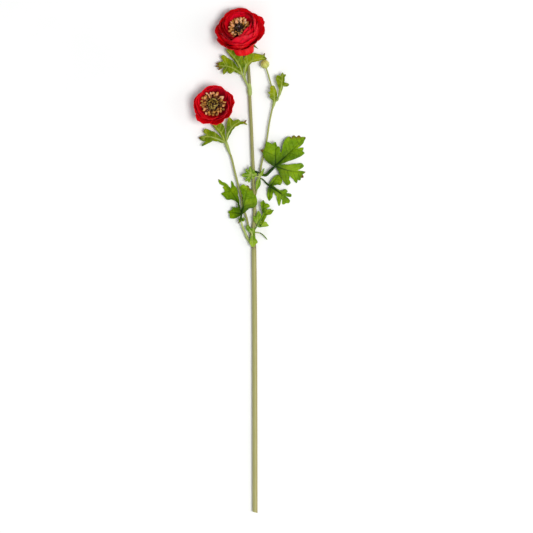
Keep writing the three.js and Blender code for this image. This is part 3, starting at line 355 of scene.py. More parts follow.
def softOutline(points, area):  # edges bow out a little between the corners
    shape = bladeShape
    soft = []
    for i, a in enumerate(points):
        b = points[(i + 1) % len(points)]
        span = b - a
        length = np.linalg.norm(span)
        steps = max(1, round(length / shape["edgeStep"]))
        out = np.array([span[1], -span[0]]) / max(length, 1e-9) * math.copysign(1, area)
        for k in range(steps):
            t = k / steps
            bulge = shape["edgeBulge"] * length * math.sin(math.pi * t) * min(1, shape["bulgeReach"] / length)
            soft.append(a + span * t + out * bulge)
    soft = np.array(soft)
    return 0.5 * soft + 0.25 * (np.roll(soft, 1, axis=0) + np.roll(soft, -1, axis=0))


def insideOutline(places, outline):
    inside = np.zeros(len(places), bool)
    x, y = places[:, 0], places[:, 1]
    for i in range(len(outline)):
        (ax, ay), (bx, by) = outline[i - 1], outline[i]
        if ay == by:
            continue
        inside ^= ((ay > y) != (by > y)) & (x < (bx - ax) * (y - ay) / (by - ay) + ax)
    return inside


def bladeVeins(blade, teeth):  # ribs run to the tips, side veins leave them for the teeth
    shape = bladeShape
    veins = [(ribLine(blade, lobe), shape["ribWidth"], 1.0) for lobe in blade["lobes"]]
    for tooth, lobe in teeth:
        rib = ribLine(blade, lobe)
        last = len(rib) - 1
        away, share = lineDistance(np.array([tooth]), rib)
        back = shape["veinBack"] * away[0] / max(np.linalg.norm(rib[-1] - rib[0]), 1)
        foot = int(round(max(shape["veinFoot"], share[0] - back) * last))
        ahead = rib[min(foot + 3, last)] - rib[foot]
        middle = (rib[foot] + tooth) / 2 + shape["veinSweep"] * ahead
        steps = shape["veinSteps"]
        line = np.array([bezier(rib[foot], middle, tooth, i / steps) for i in range(steps + 1)])
        veins.append((line, shape["veinWidth"], shape["veinTone"]))
    return veins


def bladeFill(outline, veins):  # a triangular net of points, with rows along the veins
    shape = bladeShape
    step, rowShare, veinStep = shape["fill"], shape["rowShare"], shape["veinStep"]
    low, high = outline.min(0), outline.max(0)
    rows = []
    for j in range(int((high[1] - low[1]) / (rowShare * step)) + 1):
        y = low[1] + (j + 0.5) * rowShare * step
        across = np.arange(low[0] + (j % 2) * step / 2, high[0], step)
        rows.append(np.stack([across, np.full(len(across), y)], axis=1))
    net = np.concatenate(rows)
    along = []
    for line in [vein[0] for vein in veins]:
        length = np.linalg.norm(np.diff(line, axis=0), axis=1).sum()
        for k in range(int(length / veinStep) + 1):
            t = min(k * veinStep / max(length, 1e-6), 1) * (len(line) - 1)
            i = min(int(t), len(line) - 2)
            along.append(line[i] + (line[i + 1] - line[i]) * (t - i))
        net = net[lineDistance(net, line)[0] > shape["veinGap"]]
    kept = []
    for p in along:
        if all(np.linalg.norm(p - q) > shape["pointGap"] for q in kept[-40:]):
            kept.append(p)
    net = np.concatenate([net, np.array(kept)])
    ring = np.concatenate([outline, outline[:1]])
    net = net[lineDistance(net, ring)[0] > shape["pointGap"]]
    return net[insideOutline(net, outline)]


def bladeHeights(blade, places):  # heights, and shares of the way out, blended between the lobes
    shape = bladeShape
    total, heights, alongs = (np.zeros(len(places)) for k in range(3))
    palm = np.array(blade["palm"], float)
    x, y = places[:, 0], places[:, 1]
    turnsX, turnsY, phase = shape["ripple"]
    for lobe in blade["lobes"]:
        tip = np.array(lobe["tip"], float)
        span = tip[:2] - palm[:2]
        length = np.linalg.norm(span)
        off = places - palm[:2]
        s = np.clip(off @ span / length ** 2, 0, 1.1)
        across = np.abs(off[:, 0] * span[1] - off[:, 1] * span[0]) / length
        arch = blade.get("arch", shape["arch"]) * 4 * s * (1 - s)
        ripple = shape["wave"] * np.sin(turnsX * x + phase) * np.sin(turnsY * y) * s
        height = palm[2] + (tip[2] - palm[2]) * s + arch + blade.get("fold", shape["fold"]) * across + ripple
        away = lineDistance(places, ribLine(blade, lobe))[0]
        weight = 1 / (shape["lobeBlend"] + away) ** 4
        heights += weight * height
        alongs += weight * s
        total += weight
    return heights / total, alongs / total


driedTips = [  # where the leaves have gone brown: x, y, reach
    (7.7, 434, 3.0), (44, 450.6, 3.2), (49, 451.6, 3.2), (53, 451.6, 3.4), (57.6, 402, 2.6), (61, 449.8, 2.6),
    (-20.5, 347, 2.4), (-3.6, 390, 2.6), (-48, 534.5, 6.2), (-44, 530.3, 4.6), (-46.9, 538, 4.8),
    (14.6, 543, 3.0), (12.1, 550.8, 3.0), (-10.6, 469.3, 3.6), (-67.6, 449.3, 2.6), (-44.2, 399.6, 2.4),
    (61, 408.2, 2.2), (-8.2, 391.5, 2.4), (-5, 387.5, 2.2),
]


def faceUp(piece):  # every face of an open sheet looks up before it is thickened
    edit = bmesh.new()
    edit.from_mesh(piece.data)
    bmesh.ops.recalc_face_normals(edit, faces=edit.faces)
    if sum(face.normal.z * face.calc_area() for face in edit.faces) < 0:
        bmesh.ops.reverse_faces(edit, faces=edit.faces)
    edit.to_mesh(piece.data)
    edit.free()


def bladePiece(name, blade, seed, veinFade):
    shape = bladeShape
    points, area, teeth = bladeOutline(blade)
    outline = softOutline(points, area)
    veins = bladeVeins(blade, teeth)
    net = bladeFill(outline, veins)
    flat = [Vector(p) for p in np.concatenate([outline, net])]
    loop = list(range(len(outline)))
    if area < 0:
        loop.reverse()
    cut = geometry.delaunay_2d_cdt(flat, [], [loop], 1, 1e-5)
    places = np.array([(p.x, p.y) for p in cut[0]])
    heights, alongs = bladeHeights(blade, places)
    edge = lineDistance(places, np.concatenate([outline, outline[:1]]))[0]
    vein = np.zeros(len(places))
    for line, width, strength in veins:
        away, share = lineDistance(places, line)
        half = 0.5 * (width[0] + (width[1] - width[0]) * share)
        tone = strength * (1 - veinFade * np.maximum(share, 1 - strength))
        vein = np.maximum(vein, tone * np.clip(1.5 - away / half, 0, 1))
        groove = shape["ribGroove"] if strength == 1 else shape["veinGroove"]
        heights -= groove * np.exp(-((away / (shape["grooveReach"] * half)) ** 2))
    marks = []
    spots = []
    slowTurns, quickTurns = shape["curlTurns"], shape["puckerTurns"]
    for (x, y), z, e, v, s in zip(places, heights, edge, vein, alongs):
        slow = noise.noise(Vector((x * slowTurns, y * slowTurns, seed)))
        quick = noise.noise(Vector((x * quickTurns, y * quickTurns, seed + 7)))
        pucker = shape["pucker"] * quick * min(e / shape["puckerFrom"], 1)
        z += pucker + shape["curl"] * slow * max(0, 1 - e / shape["curlReach"])
        reaches = [math.hypot(x - px, y - py) / r for px, py, r in driedTips]
        dried = max(0, shape["driedReach"] - min(reaches))
        dried += shape["driedEdge"] * quick if dried > 0 else 0
        spots.append((x, y, max(z, shape["least"] + 0.5 * shape["thickness"])))
        marks.append((v, min(max(dried, 0), 1), min(max(s, 0), 1)))
    piece = meshPiece(name, spots, [list(face) for face in cut[2]])
    mark(piece, marks)
    faceUp(piece)
    thicken(piece, shape["thickness"])
    return piece


# A rod follows a route of x, y, z, radius: stems, stalks and collars.
def rod(name, route, sides=8, slant=0.0):
    deselectAll()
    bpy.ops.curve.primitive_bezier_curve_add()
    piece = bpy.context.object
    piece.name = name
    curve = piece.data
    curve.dimensions = "3D"
    curve.bevel_depth = mm
    curve.bevel_resolution = sides // 4 + 1
    curve.resolution_u = 6
    curve.use_fill_caps = True
    spline = curve.splines[0]
    spline.bezier_points.add(len(route) - 2)
    for point, (x, y, z, radius) in zip(spline.bezier_points, route):
        point.co = toRow((x, y, z))
        point.radius = radius
        point.handle_left_type = point.handle_right_type = "AUTO"
    piece.location = (0, 0, 0)
    selectOnly(piece)
    bpy.ops.object.convert(target="MESH")
    piece = bpy.context.object
    centres = np.array([p[:3] for p in route], float)
    lengths = np.concatenate([[0], np.cumsum(np.linalg.norm(np.diff(centres, axis=0), axis=1))])
    marks = []
    for vertex in piece.data.vertices:
        p = vertex.co / mm - shift
        best, share, middle = 1e9, 0, centres[0]
        for i in range(len(centres) - 1):
            span = centres[i + 1] - centres[i]
            t = min(max((np.array(p) - centres[i]) @ span / (span @ span), 0), 1)
            near = centres[i] + t * span
            away = np.linalg.norm(np.array(p) - near)
            if away < best:
                best, middle = away, near
                share = (lengths[i] + t * (lengths[i + 1] - lengths[i])) / lengths[-1]
        side = 0.5 + 0.5 * (p.x - middle[0]) / max(best, 0.1)
        marks.append((share, min(max(side, 0), 1), 0))
        if slant and share < 0.002:  # the cut end
            vertex.co.y -= slant * (p.x - centres[0][0]) * mm
        vertex.co.z = max(vertex.co.z, 0)
    mark(piece, marks)
    return piece


def leafPiece(leaf, blade, stalkSkin, veinFade=0.25, footSkin=None):
    node = leaf["node"]
    parts = []
    for i, item in enumerate(leaf["blades"]):
        part = bladePiece(node + "_blade" + str(i), item, 3.7 * i + len(node), veinFade)
        part.data.materials.append(paleLeafSkin if item.get("pale") else blade)
        parts.append(part)
    for i, route in enumerate(leaf["stalks"] + leaf.get("collars", [])):
        sides = bladeShape["stalkSides" if i < len(leaf["stalks"]) else "collarSides"]
        part = rod(node + "_stalk" + str(i), route, sides)
        part.data.materials.append(stalkSkin)
        parts.append(part)
    for i, route in enumerate(leaf.get("feet", [])):
        part = rod(node + "_foot" + str(i), route)
        part.data.materials.append(footSkin)
        parts.append(part)
    dress(node, parts)


# The leaves and bracts. Stalks, feet and collars are routes of x, y, z, radius. A blade has
# its palm and, in order round it, its lobes: each climbs to its tip and falls to the sinus
# before the next, and its rib bends past "via". A palm and a tip are x, y, z.
leafLargeRight = {
    "node": "leaf_large_right",
    "stalks": [
        [(6.9, 404.4, 4.5, 1), (9.4, 404.4, 4.8, 1.3), (12.6, 404, 5.3, 1.8), (17.5, 408.2, 5.6, 1.8),
         (22.5, 413, 5.6, 1.5), (29.5, 419.7, 6.1, 0.85), (36, 426, 5.8, 0.4)],
        [(-0.8, 409, 2.8, 1.0), (3, 407, 1.7, 1.2), (6.4, 404.6, 1.6, 1.2), (9.2, 404.2, 3.9, 1.3)]],
    "blades": [
        {"palm": (24.6, 415, 6.8), "lobes": [
            {"climb": [(21.2, 415.3), (12.4, 422), (9.4, 430.3), (6.6, 434.1), (11.6, 435.4),
                       (12.8, 438.5), (13.9, 444.4), (20.4, 441)],
             "tip": (24.4, 444.2, 7.6), "fall": [(26.3, 438.6), (29.5, 438), (30.2, 432.9)],
             "sinus": (31.2, 427.7)},
            {"climb": [(32.6, 435), (34.2, 443.1), (37, 447.9), (41.6, 450.8), (43.6, 448.8),
                       (46.9, 452.3), (49.6, 449.6), (52.9, 452.2), (55, 450)],
             "tip": (61, 449.8, -2.6),
             "fall": [(59.2, 445.6), (57.2, 441.4), (50.1, 435.9), (58.5, 437.4), (57, 432.9),
                      (59.8, 430.7), (53.7, 426), (39.2, 420.4)],
             "sinus": (30.4, 417.2)},
            {"climb": [(40, 416.4), (50.7, 417.9), (56.3, 418.6), (58.9, 415), (54.6, 411.6),
                       (50.3, 409.9)],
             "tip": (61, 408.2, -2.6), "via": (44, 406.5),
             "fall": [(57, 405.2), (58.6, 401.4), (55.2, 401), (54.4, 397.7), (51.2, 398.8),
                      (50.1, 394.2), (46, 399.4), (41.5, 403.9), (40.7, 399), (42.8, 394.5),
                      (38.5, 391.4), (34.9, 396), (31.5, 401.8), (28.6, 408)]}]}],
}
leafSmallRight = {
    "node": "leaf_small_right",
    "stalks": [
        [(6.4, 399.9, 4.1, 0.75), (8.6, 399.6, 4.1, 0.75), (11, 397.6, 4.2, 0.8),
         (14.6, 393.6, 4.2, 1.1), (18.3, 390.8, 4, 1.15), (26, 386, 3.6, 0.8), (32, 381.6, 2.6, 0.4)]],
    "blades": [
        {"palm": (18.3, 390.8, 4.6), "lobes": [
            {"climb": [(17, 393.4), (20.2, 398.2), (23.6, 402.6)], "tip": (28.1, 405, 2.6),
             "fall": [(30.6, 402.7), (32.7, 397.5), (30.9, 392.2), (26.9, 392.9)], "sinus": (21.6, 391.4)},
            {"climb": [(25.7, 388.4), (29.7, 385.9), (33, 386), (37, 387.6), (39.4, 384.8),
                       (37.4, 382.9), (43.8, 381.5), (43.6, 378), (36.9, 379)],
             "tip": (42.2, 373.7, -1.8),
             "fall": [(40.7, 370.4), (37.3, 370.8), (35.6, 369.2), (32.7, 369.1), (32.7, 374.3),
                      (30.9, 375.8), (30.8, 370.9), (28.9, 366.7), (26.9, 372.1), (26.3, 378.3)],
             "sinus": (22.3, 384.9)},
            {"climb": [(21.2, 381.3), (20.8, 377.3), (19.2, 375.6)], "tip": (17.1, 372.9, -1.4),
             "fall": [(15, 377.3), (15, 384.4), (15.4, 389)]}]}],
}
leafCentre = {
    "node": "leaf_centre",
    "stalks": [
        [(-0.4, 408.4, 4.3, 0.8), (1.6, 408, 5.6, 0.95), (3.9, 406.6, 6.6, 1), (4.6, 402.6, 6.9, 0.9),
         (-0.6, 403.7, 7, 0.8), (-4.2, 404.6, 7.1, 0.6)],
        [(3.4, 402.9, 6.9, 0.8), (7, 403.6, 6.9, 0.9), (9.8, 409.4, 6.9, 0.5)],
        [(5.2, 403.4, 6.9, 0.8), (4.7, 399.5, 6.8, 0.9), (3.4, 392.8, 6.2, 0.5)]],
    "feet": [
        [(-1, 408.8, 4.4, 1), (1.7, 408, 5.7, 1.2), (4, 406.6, 6.6, 1.2), (4.4, 405.4, 6.7, 0.9)]],
    "blades": [
        {"palm": (-4.2, 404.4, 7.2), "lobes": [
            {"climb": [(-4, 407.2), (-2.6, 409.4)], "tip": (-1, 411.2, 7), "fall": [(0, 408.6)],
             "sinus": (-0.6, 406.8)},
            {"climb": [(0.6, 407)], "tip": (2.6, 405, 7.2), "fall": [(1, 402.8)], "sinus": (-0.8, 402.8)},
            {"climb": [(-0.4, 401.4)], "tip": (-1.8, 398.8, 7.1), "fall": [(-4, 400.4)]}]},
        {"palm": (-4.2, 404.6, 7.2), "lobes": [
            {"climb": [(-4.9, 401.2), (-5.1, 397.9), (-7.2, 394.6), (-8.6, 397.4)],
             "tip": (-12, 396.2, 6.2), "fall": [(-11.3, 399.3)], "sinus": (-9, 402)},
            {"climb": [(-13.4, 401.4)], "tip": (-16.4, 403.4, 6.4), "fall": [(-13.1, 406.7)],
             "sinus": (-9, 406.3)},
            {"climb": [(-11.4, 408.7)], "tip": (-11.1, 412.2, 7), "fall": [(-8.3, 410.6)],
             "sinus": (-6.4, 407.7)},
            {"climb": [(-7.7, 411)], "tip": (-5.8, 415.2, 7.4), "fall": [(-3.3, 409.7), (-1.4, 405.2)]}]},
        {"palm": (5.4, 402.2, 6.9), "lobes": [
            {"climb": [(5.6, 404.4), (8.4, 409.3)], "tip": (11.2, 412.8, 7.2),
             "fall": [(10.6, 408.3), (8.4, 403.2)]}]},
        {"palm": (4.9, 402.4, 6.9), "lobes": [
            {"climb": [(6.3, 399.4), (6.9, 393), (4.8, 389.2)], "tip": (1.5, 385.6, 5.8),
             "fall": [(0.9, 392.4), (2, 397.4)]}]}],
}
leafLeft = {
    "node": "leaf_left",
    "stalks": [
        [(-16.5, 348, 6.9, 1.15), (-16.9, 350, 7.1, 1.2), (-16, 357.7, 7.3, 1.25),
         (-12.6, 368, 7.5, 0.8), (-10.4, 379, 7.5, 0.4)]],
    "feet": [
        [(-3.4, 320.6, 3.3, 1.7), (-8.7, 328, 3.6, 1.7), (-12.2, 336, 4.8, 1.4),
         (-15.3, 343.8, 6.2, 1.15), (-16.7, 349, 7.1, 1.1)]],
    "blades": [
        {"palm": (-16.2, 357.7, 7.7), "fold": -0.02, "lobes": [
            {"climb": [(-20, 354), (-23.8, 352.2), (-30, 352.4), (-30.2, 357.4)],
             "tip": (-32.6, 360.2, 2.2),
             "fall": [(-28.4, 361.9), (-26.5, 363.8), (-28.1, 365.8), (-23.6, 365.3)],
             "sinus": (-20.2, 365.4)},
            {"climb": [(-20.8, 370.7), (-23.8, 373.7), (-28.4, 375.1), (-33.6, 374.5), (-36.5, 378.3),
                       (-40.5, 381.8), (-36.1, 384.3), (-36.7, 387.1), (-39, 389.8), (-36.3, 390.8),
                       (-42.8, 394)],
             "tip": (-44.2, 399.6, -2.6), "via": (-18.5, 378),
             "fall": [(-39.1, 396.1), (-34.2, 394), (-31.3, 390.6), (-28.6, 387.7), (-28.3, 391.7),
                      (-28.4, 397.8), (-26.1, 395.2), (-25, 391.9), (-21.7, 388.6), (-20.4, 380.2),
                      (-18.6, 368.8)],
             "sinus": (-17.3, 362.3)},
            {"climb": [(-14.3, 366.9), (-14, 372.6), (-14.9, 380), (-16.6, 385.6), (-18.4, 389.8),
                       (-13.4, 393.5), (-11.4, 391)],
             "tip": (-8.2, 391.9, 8.2),
             "fall": [(-6.5, 388.2), (-4.1, 387), (-1.7, 381.8), (1.9, 377.4), (2.6, 369.9),
                      (-0.7, 365.3), (-6.6, 364.4), (-9.7, 361.7), (-13.3, 358.4)]}]},
        {"palm": (-16.7, 351.2, 7.2), "lobes": [
            {"climb": [(-14.4, 353.4), (-12.3, 352.9)], "tip": (-11.8, 350.7, 6.8),
             "fall": [(-13.9, 348.3)], "sinus": (-15.8, 349)},
            {"climb": [(-17.4, 348.2)], "tip": (-20.5, 345.6, 6.2),
             "fall": [(-19.2, 349.4), (-20.4, 352.4)]}]}],
}
leafLowerRight = {
    "node": "leaf_lower_right",
    "stalks": [
        [(-0.6, 338.6, 4, 0.8), (1.2, 341.2, 5.4, 1), (4.4, 346.9, 6.7, 1.1), (7.5, 352.9, 7.1, 0.9),
         (10.2, 359, 7.4, 0.7), (10.4, 367, 7.8, 0.5)]],
    "blades": [
        {"palm": (5.6, 342.4, 6.2), "lobes": [
            {"climb": [(6.2, 349.4), (8.8, 356.2)], "tip": (14.6, 364.6, 7.8), "via": (9.6, 354),
             "fall": [(14.8, 357.6), (11.6, 350.4), (8.8, 345.6)]}]},
        {"palm": (9.4, 357.4, 7.6), "lobes": [
            {"climb": [(8.9, 359.3), (7.8, 363.8), (6.4, 371.6), (8, 372.4)], "tip": (9.9, 374.4, 8),
             "fall": [(12.2, 370.1), (15.9, 369.7), (18.1, 366.5), (14.8, 365.1), (12.2, 362.7)],
             "sinus": (11, 359.7)},
            {"climb": [(14.8, 362.2), (18.5, 364), (20, 362.1)], "tip": (22.8, 362.5, 5.4),
             "fall": [(21.1, 359.9), (19.2, 357.1), (16.1, 356.4), (12.2, 355.8)]}]},
        {"palm": (2.6, 343.8, 6), "pale": True, "lobes": [
            {"climb": [(1.2, 346.2), (-0.6, 348.6), (-2.6, 353.2)], "tip": (-0.8, 355.7, 7.4),
             "fall": [(0.8, 353.6)], "sinus": (1.6, 354.8)},
            {"climb": [(1.9, 356.4), (2.5, 359.4)], "tip": (4.2, 361.6, 7.6),
             "fall": [(6.6, 358.6), (7.2, 354.4)], "sinus": (6.6, 349.4)},
            {"climb": [(10.1, 348.3), (13.5, 348.2), (14.6, 345.9)], "tip": (16.9, 343.5, 4.6),
             "fall": [(13.8, 342.5), (9.6, 342.2), (4.6, 341.4)]}]}],
}
leafSheath = {
    "node": "leaf_sheath",
    "stalks": [
        [(-2.2, 327, 4.8, 0.9), (-3.4, 331.6, 6.6, 1.2), (-4.2, 335.4, 7.1, 1.1), (-7.6, 340.2, 7, 0.6)]],
    "blades": [
        {"palm": (-3.8, 334.6, 7.3), "lobes": [
            {"climb": [(-5.4, 329.2), (-6.6, 324), (-5.4, 319.8)], "tip": (-2.4, 317.6, 6.6),
             "fall": [(-0.4, 319.2), (0.8, 321.4), (3.5, 323.6), (0.6, 328.4)], "sinus": (-0.8, 333.4)},
            {"climb": [(0.2, 334.8)], "tip": (-0.8, 339.4, 7), "fall": [(-3.4, 340.8)],
             "sinus": (-4.8, 339)},
            {"climb": [(-6.4, 343)], "tip": (-9.8, 344.4, 6.6), "fall": [(-10.8, 340.6), (-8, 336.4)]}]}],
}
bractsLargeBloom = {
    "node": "bracts_large_bloom",
    "stalks": [
        [(-6.9, 507, 5.4, 1), (-8.6, 511.6, 6.1, 1.2), (-11.4, 516.6, 6.6, 1.3), (-14.4, 522.6, 7, 1.2),
         (-17.2, 531, 7.2, 0.9), (-19.4, 541, 7.4, 0.5)],
        [(-10.4, 514.8, 6.4, 1.1), (-12.2, 522, 7, 1.1), (-11.6, 534, 7.3, 0.9), (-8, 541.6, 7.4, 0.5)]],
    "collars": [
        [(-5.9, 499.5, 3.4, 2.1), (-6.3, 502.5, 3.45, 2.75), (-6.6, 506.5, 3.5, 2.9),
         (-6.8, 510, 3.4, 2.6), (-7, 514, 3.4, 2)]],
    "blades": [
        {"palm": (-14.8, 523.4, 7.3), "lobes": [
            {"climb": [(-17, 524.3), (-20.8, 526.2), (-25.5, 528.3), (-29.8, 525.3), (-33.6, 528.5),
                       (-37.9, 524.3), (-38.6, 529.8), (-34.6, 533.4), (-38.8, 532.4), (-44.2, 529.8),
                       (-42.8, 533.3)],
             "tip": (-48, 534.5, 4.2), "via": (-27, 538),
             "fall": [(-43.4, 535.9), (-46.9, 538), (-37.7, 540.5), (-40.9, 547), (-37.2, 548),
                      (-32.6, 544), (-27.4, 541.6), (-20.8, 533.3)],
             "sinus": (-17.4, 527.6)},
            {"climb": [(-20.4, 535.2), (-25.3, 542.6), (-31.8, 549.8)], "tip": (-34.8, 554.4, 7.4),
             "via": (-17.5, 541),
             "fall": [(-27.4, 555.4), (-20.6, 553.6), (-14.8, 549.6), (-14.1, 539), (-14, 529)]}]},
        {"palm": (-12.2, 519.6, 7), "lobes": [
            {"climb": [(-13.4, 524.6), (-13, 531.6), (-13.6, 542), (-10.4, 548.4), (-1.8, 550),
                       (2.9, 549.4), (9.1, 547.6), (12.1, 550.8), (11.4, 546.6)],
             "tip": (14.6, 543, 6), "via": (-14, 546),
             "fall": [(7.2, 541.8), (2.9, 540.6), (-3.7, 539.2), (-8, 535), (-10.8, 526.4)]}]}],
}
bractsSmallBloom = {
    "node": "bracts_small_bloom",
    "stalks": [
        [(-34, 440.4, 5.4, 0.8), (-36.4, 443.4, 6, 0.9), (-44, 447, 6.3, 0.8), (-53, 450.2, 6, 0.45)],
        [(-33.6, 440.4, 5.4, 0.8), (-34, 446, 6.2, 0.9), (-32, 454, 6.6, 0.8), (-26.6, 461.6, 6.8, 0.45)]],
    "collars": [
        [(-30.2, 430.4, 4.4, 1.3), (-32, 435, 4.4, 1.8), (-33.6, 439.4, 4.3, 2.15),
         (-34.9, 443.4, 4.1, 1.95), (-36.2, 447.4, 4.1, 1.3)]],
    "blades": [
        {"palm": (-36.2, 443, 6.2), "lobes": [
            {"climb": [(-38.9, 442.3), (-44, 444.4), (-50.4, 445.4), (-56.1, 442.2), (-64.4, 438.5),
                       (-61.9, 442.4), (-58.6, 444.8), (-63.8, 445.2)],
             "tip": (-67.6, 449.3, 4.2), "via": (-50, 453),
             "fall": [(-61.9, 450.9), (-57.4, 452.4), (-62.1, 455.8), (-59.8, 460), (-52.4, 456.9),
                      (-47.5, 455.3), (-41.4, 449.3)],
             "sinus": (-38.2, 446.2)},
            {"climb": [(-41.6, 453), (-46.8, 458.6)], "tip": (-51, 465, 7), "via": (-38, 456),
             "fall": [(-45.6, 466.6), (-39.4, 466.2), (-36.4, 461), (-36.3, 454.6), (-35.4, 447.6)]}]},
        {"palm": (-34.2, 444, 6.2), "lobes": [
            {"climb": [(-35, 449), (-34.2, 455.6), (-34, 463), (-31.3, 473.9), (-25.6, 468.6),
                       (-19.8, 471.2), (-17.2, 468.2), (-13.8, 468.2)],
             "tip": (-9.8, 470.4, 5.6), "via": (-32.5, 466),
             "fall": [(-11.6, 467.2), (-8.8, 464.2), (-13.4, 465.6), (-17.6, 464.9), (-23.5, 462),
                      (-27.2, 457.9), (-30.8, 451.2)]}]}],
}
bractsBud = {
    "node": "bracts_bud",
    "stalks": [
        [(23.2, 490.6, 6, 0.8), (23.6, 496, 7.2, 0.8), (22.4, 505, 8.2, 0.45)],
        [(23.2, 490.6, 6, 0.8), (26.4, 494, 6.6, 0.9), (29.4, 500.6, 7, 0.9), (32.2, 512.4, 7.4, 0.45)]],
    "collars": [
        [(21.3, 485, 4.9, 1.1), (22.3, 488.4, 4.95, 1.7), (22.9, 491, 5, 1.95), (23.1, 494.2, 5.1, 1.7),
         (22.8, 498, 5.2, 1.05)]],
    "blades": [
        {"palm": (23.8, 490.9, 6.9), "arch": 1.4, "lobes": [
            {"climb": [(21.6, 493.4), (17, 497.5), (18.6, 500.2), (15.2, 503), (18.6, 504.3),
                       (17.8, 509.4)],
             "tip": (22.3, 511.6, 8), "fall": [(24.5, 507.7), (26, 503.5), (26.7, 499), (25.6, 494.8)]}]},
        {"palm": (25.6, 492.4, 6.5), "arch": 0.6, "lobes": [
            {"climb": [(27.8, 499.8), (29, 506.8), (26.3, 515.1), (24.9, 520.8), (26.6, 524), (30.4, 523)],
             "tip": (33.2, 527.3, 7.4), "via": (33, 507),
             "fall": [(34.2, 524.6), (37.4, 524.6), (35.5, 521.2), (35, 515.1), (41.2, 513.1),
                      (39.4, 510.3), (33.6, 510.6), (31.8, 504.1), (29, 498), (27.2, 492.6)]}]}],
}

# Finishes of the leaves and bracts
leafSkin = bladeMaterial({
    "name": "greenLeafBlade", "body": [(0.34, "4e7200"), (0.5, "688c04"), (0.68, "88a60c")], "net": "4e7402",
    "fleck": "90b018", "root": "1e3c00", "paintedRootShade": 0.8, "vein": "102800"})
paleLeafSkin = bladeMaterial({
    "name": "paleLeafBlade", "body": [(0.34, "4c7804"), (0.5, "6c920c"), (0.66, "8eaa28")], "net": "588406",
    "fleck": "94b430", "root": "64881c", "paintedRootShade": 0.3, "vein": "98ac50"})
bractSkin = bladeMaterial({
    "name": "greenBractBlade", "body": [(0.34, "466000"), (0.5, "697d00"), (0.66, "909a00")], "net": "4c6600",
    "fleck": "96a808", "root": "5c7a14", "paintedRootShade": 0.35, "vein": "a4b050"})
# Stalk skin for stalks that lie in shadow: its near-black green is painted shade.
paintedShadeStalk = stemMaterial({
    "name": "leafStalkPaintedShade", "body": [(0.0, "4c6c10"), (0.3, "1e3c02"), (1.0, "142c02")],
    "blotch": "143002", "ridge": "2c5006", "edges": 0.0, "gloss": 0.08})
greenStalk = stemMaterial({
    "name": "greenLeafStalk", "body": [(0.0, "80984c"), (0.4, "587c1c"), (1.0, "3c640a")],
    "blotch": "4c7018", "ridge": "6c8c30", "edges": 0.1, "gloss": 0.2})
paleStalk = stemMaterial({
    "name": "paleBractStalk", "body": [(0.0, "8c9c48"), (1.0, "aabc66")],
    "blotch": "8ca048", "ridge": "c0cc84", "edges": 0.15, "gloss": 0.3})
print("leaf finishes ready")

for leaf in (leafLargeRight, leafSmallRight, leafLeft):
    leafPiece(leaf, leafSkin, paintedShadeStalk, veinFade=0.75, footSkin=paleStalk)
leafPiece(leafLowerRight, leafSkin, greenStalk, veinFade=0.75)
for leaf in (leafCentre, leafSheath):
    leafPiece(leaf, paleLeafSkin, paleStalk, footSkin=paintedShadeStalk)
for leaf in (bractsLargeBloom, bractsSmallBloom, bractsBud):
    leafPiece(leaf, bractSkin, paleStalk)
print("leaves ready")

# The thin leaf that stands on its edge beside the fork
edgewise = {
    "stalk": [(0.2, 335.1, 3.6, 0.7), (3.2, 335.2, 3.9, 0.7), (6.6, 334.4, 4.2, 0.6)],
    "route": [(5.6, 334.8), (8.4, 333.2), (11.6, 330.2), (14.4, 326.6)],
    "middle": [4.2, 4.4, 4.0, 3.2], "halfHeight": [0.7, 2.6, 2.2, 0.3], "lean": 0.5, "ribWidth": 0.2,
    "thickness": 0.5, "steps": 16, "rows": 6, "easing": 0.4,
}


def edgewisePiece(node):
    values = edgewise
    route, middles, halves = values["route"], values["middle"], values["halfHeight"]
    steps, rows = values["steps"], values["rows"]
    points = []
    marks = []
    for i in range(steps + 1):
        t = i / steps * (len(route) - 1)
        k = min(int(t), len(route) - 2)
        f = smoothStep(t - k, 0, 1) * values["easing"] + (t - k) * (1 - values["easing"])
        (ax, ay), (bx, by) = route[k], route[k + 1]
        middle = middles[k] * (1 - f) + middles[k + 1] * f
        half = halves[k] * (1 - f) + halves[k + 1] * f
        for j in range(rows + 1):
            v = 2 * j / rows - 1
            lean = values["lean"] * v * v
            points.append((ax + (bx - ax) * f + lean, ay + (by - ay) * f + lean, middle + half * v))
            marks.append((math.exp(-((v / values["ribWidth"]) ** 2)), 0, i / steps))
    row = rows + 1
    faces = [(i * row + j, (i + 1) * row + j, (i + 1) * row + j + 1, i * row + j + 1)
             for i in range(steps) for j in range(rows)]
    blade = meshPiece(node + "_blade", points, faces)
    mark(blade, marks)
    thicken(blade, values["thickness"])
    blade.data.materials.append(leafSkin)
    stalk = rod(node + "_stalk", values["stalk"])
    stalk.data.materials.append(paleStalk)
    dress(node, [blade, stalk])


edgewisePiece("leaf_edgewise")

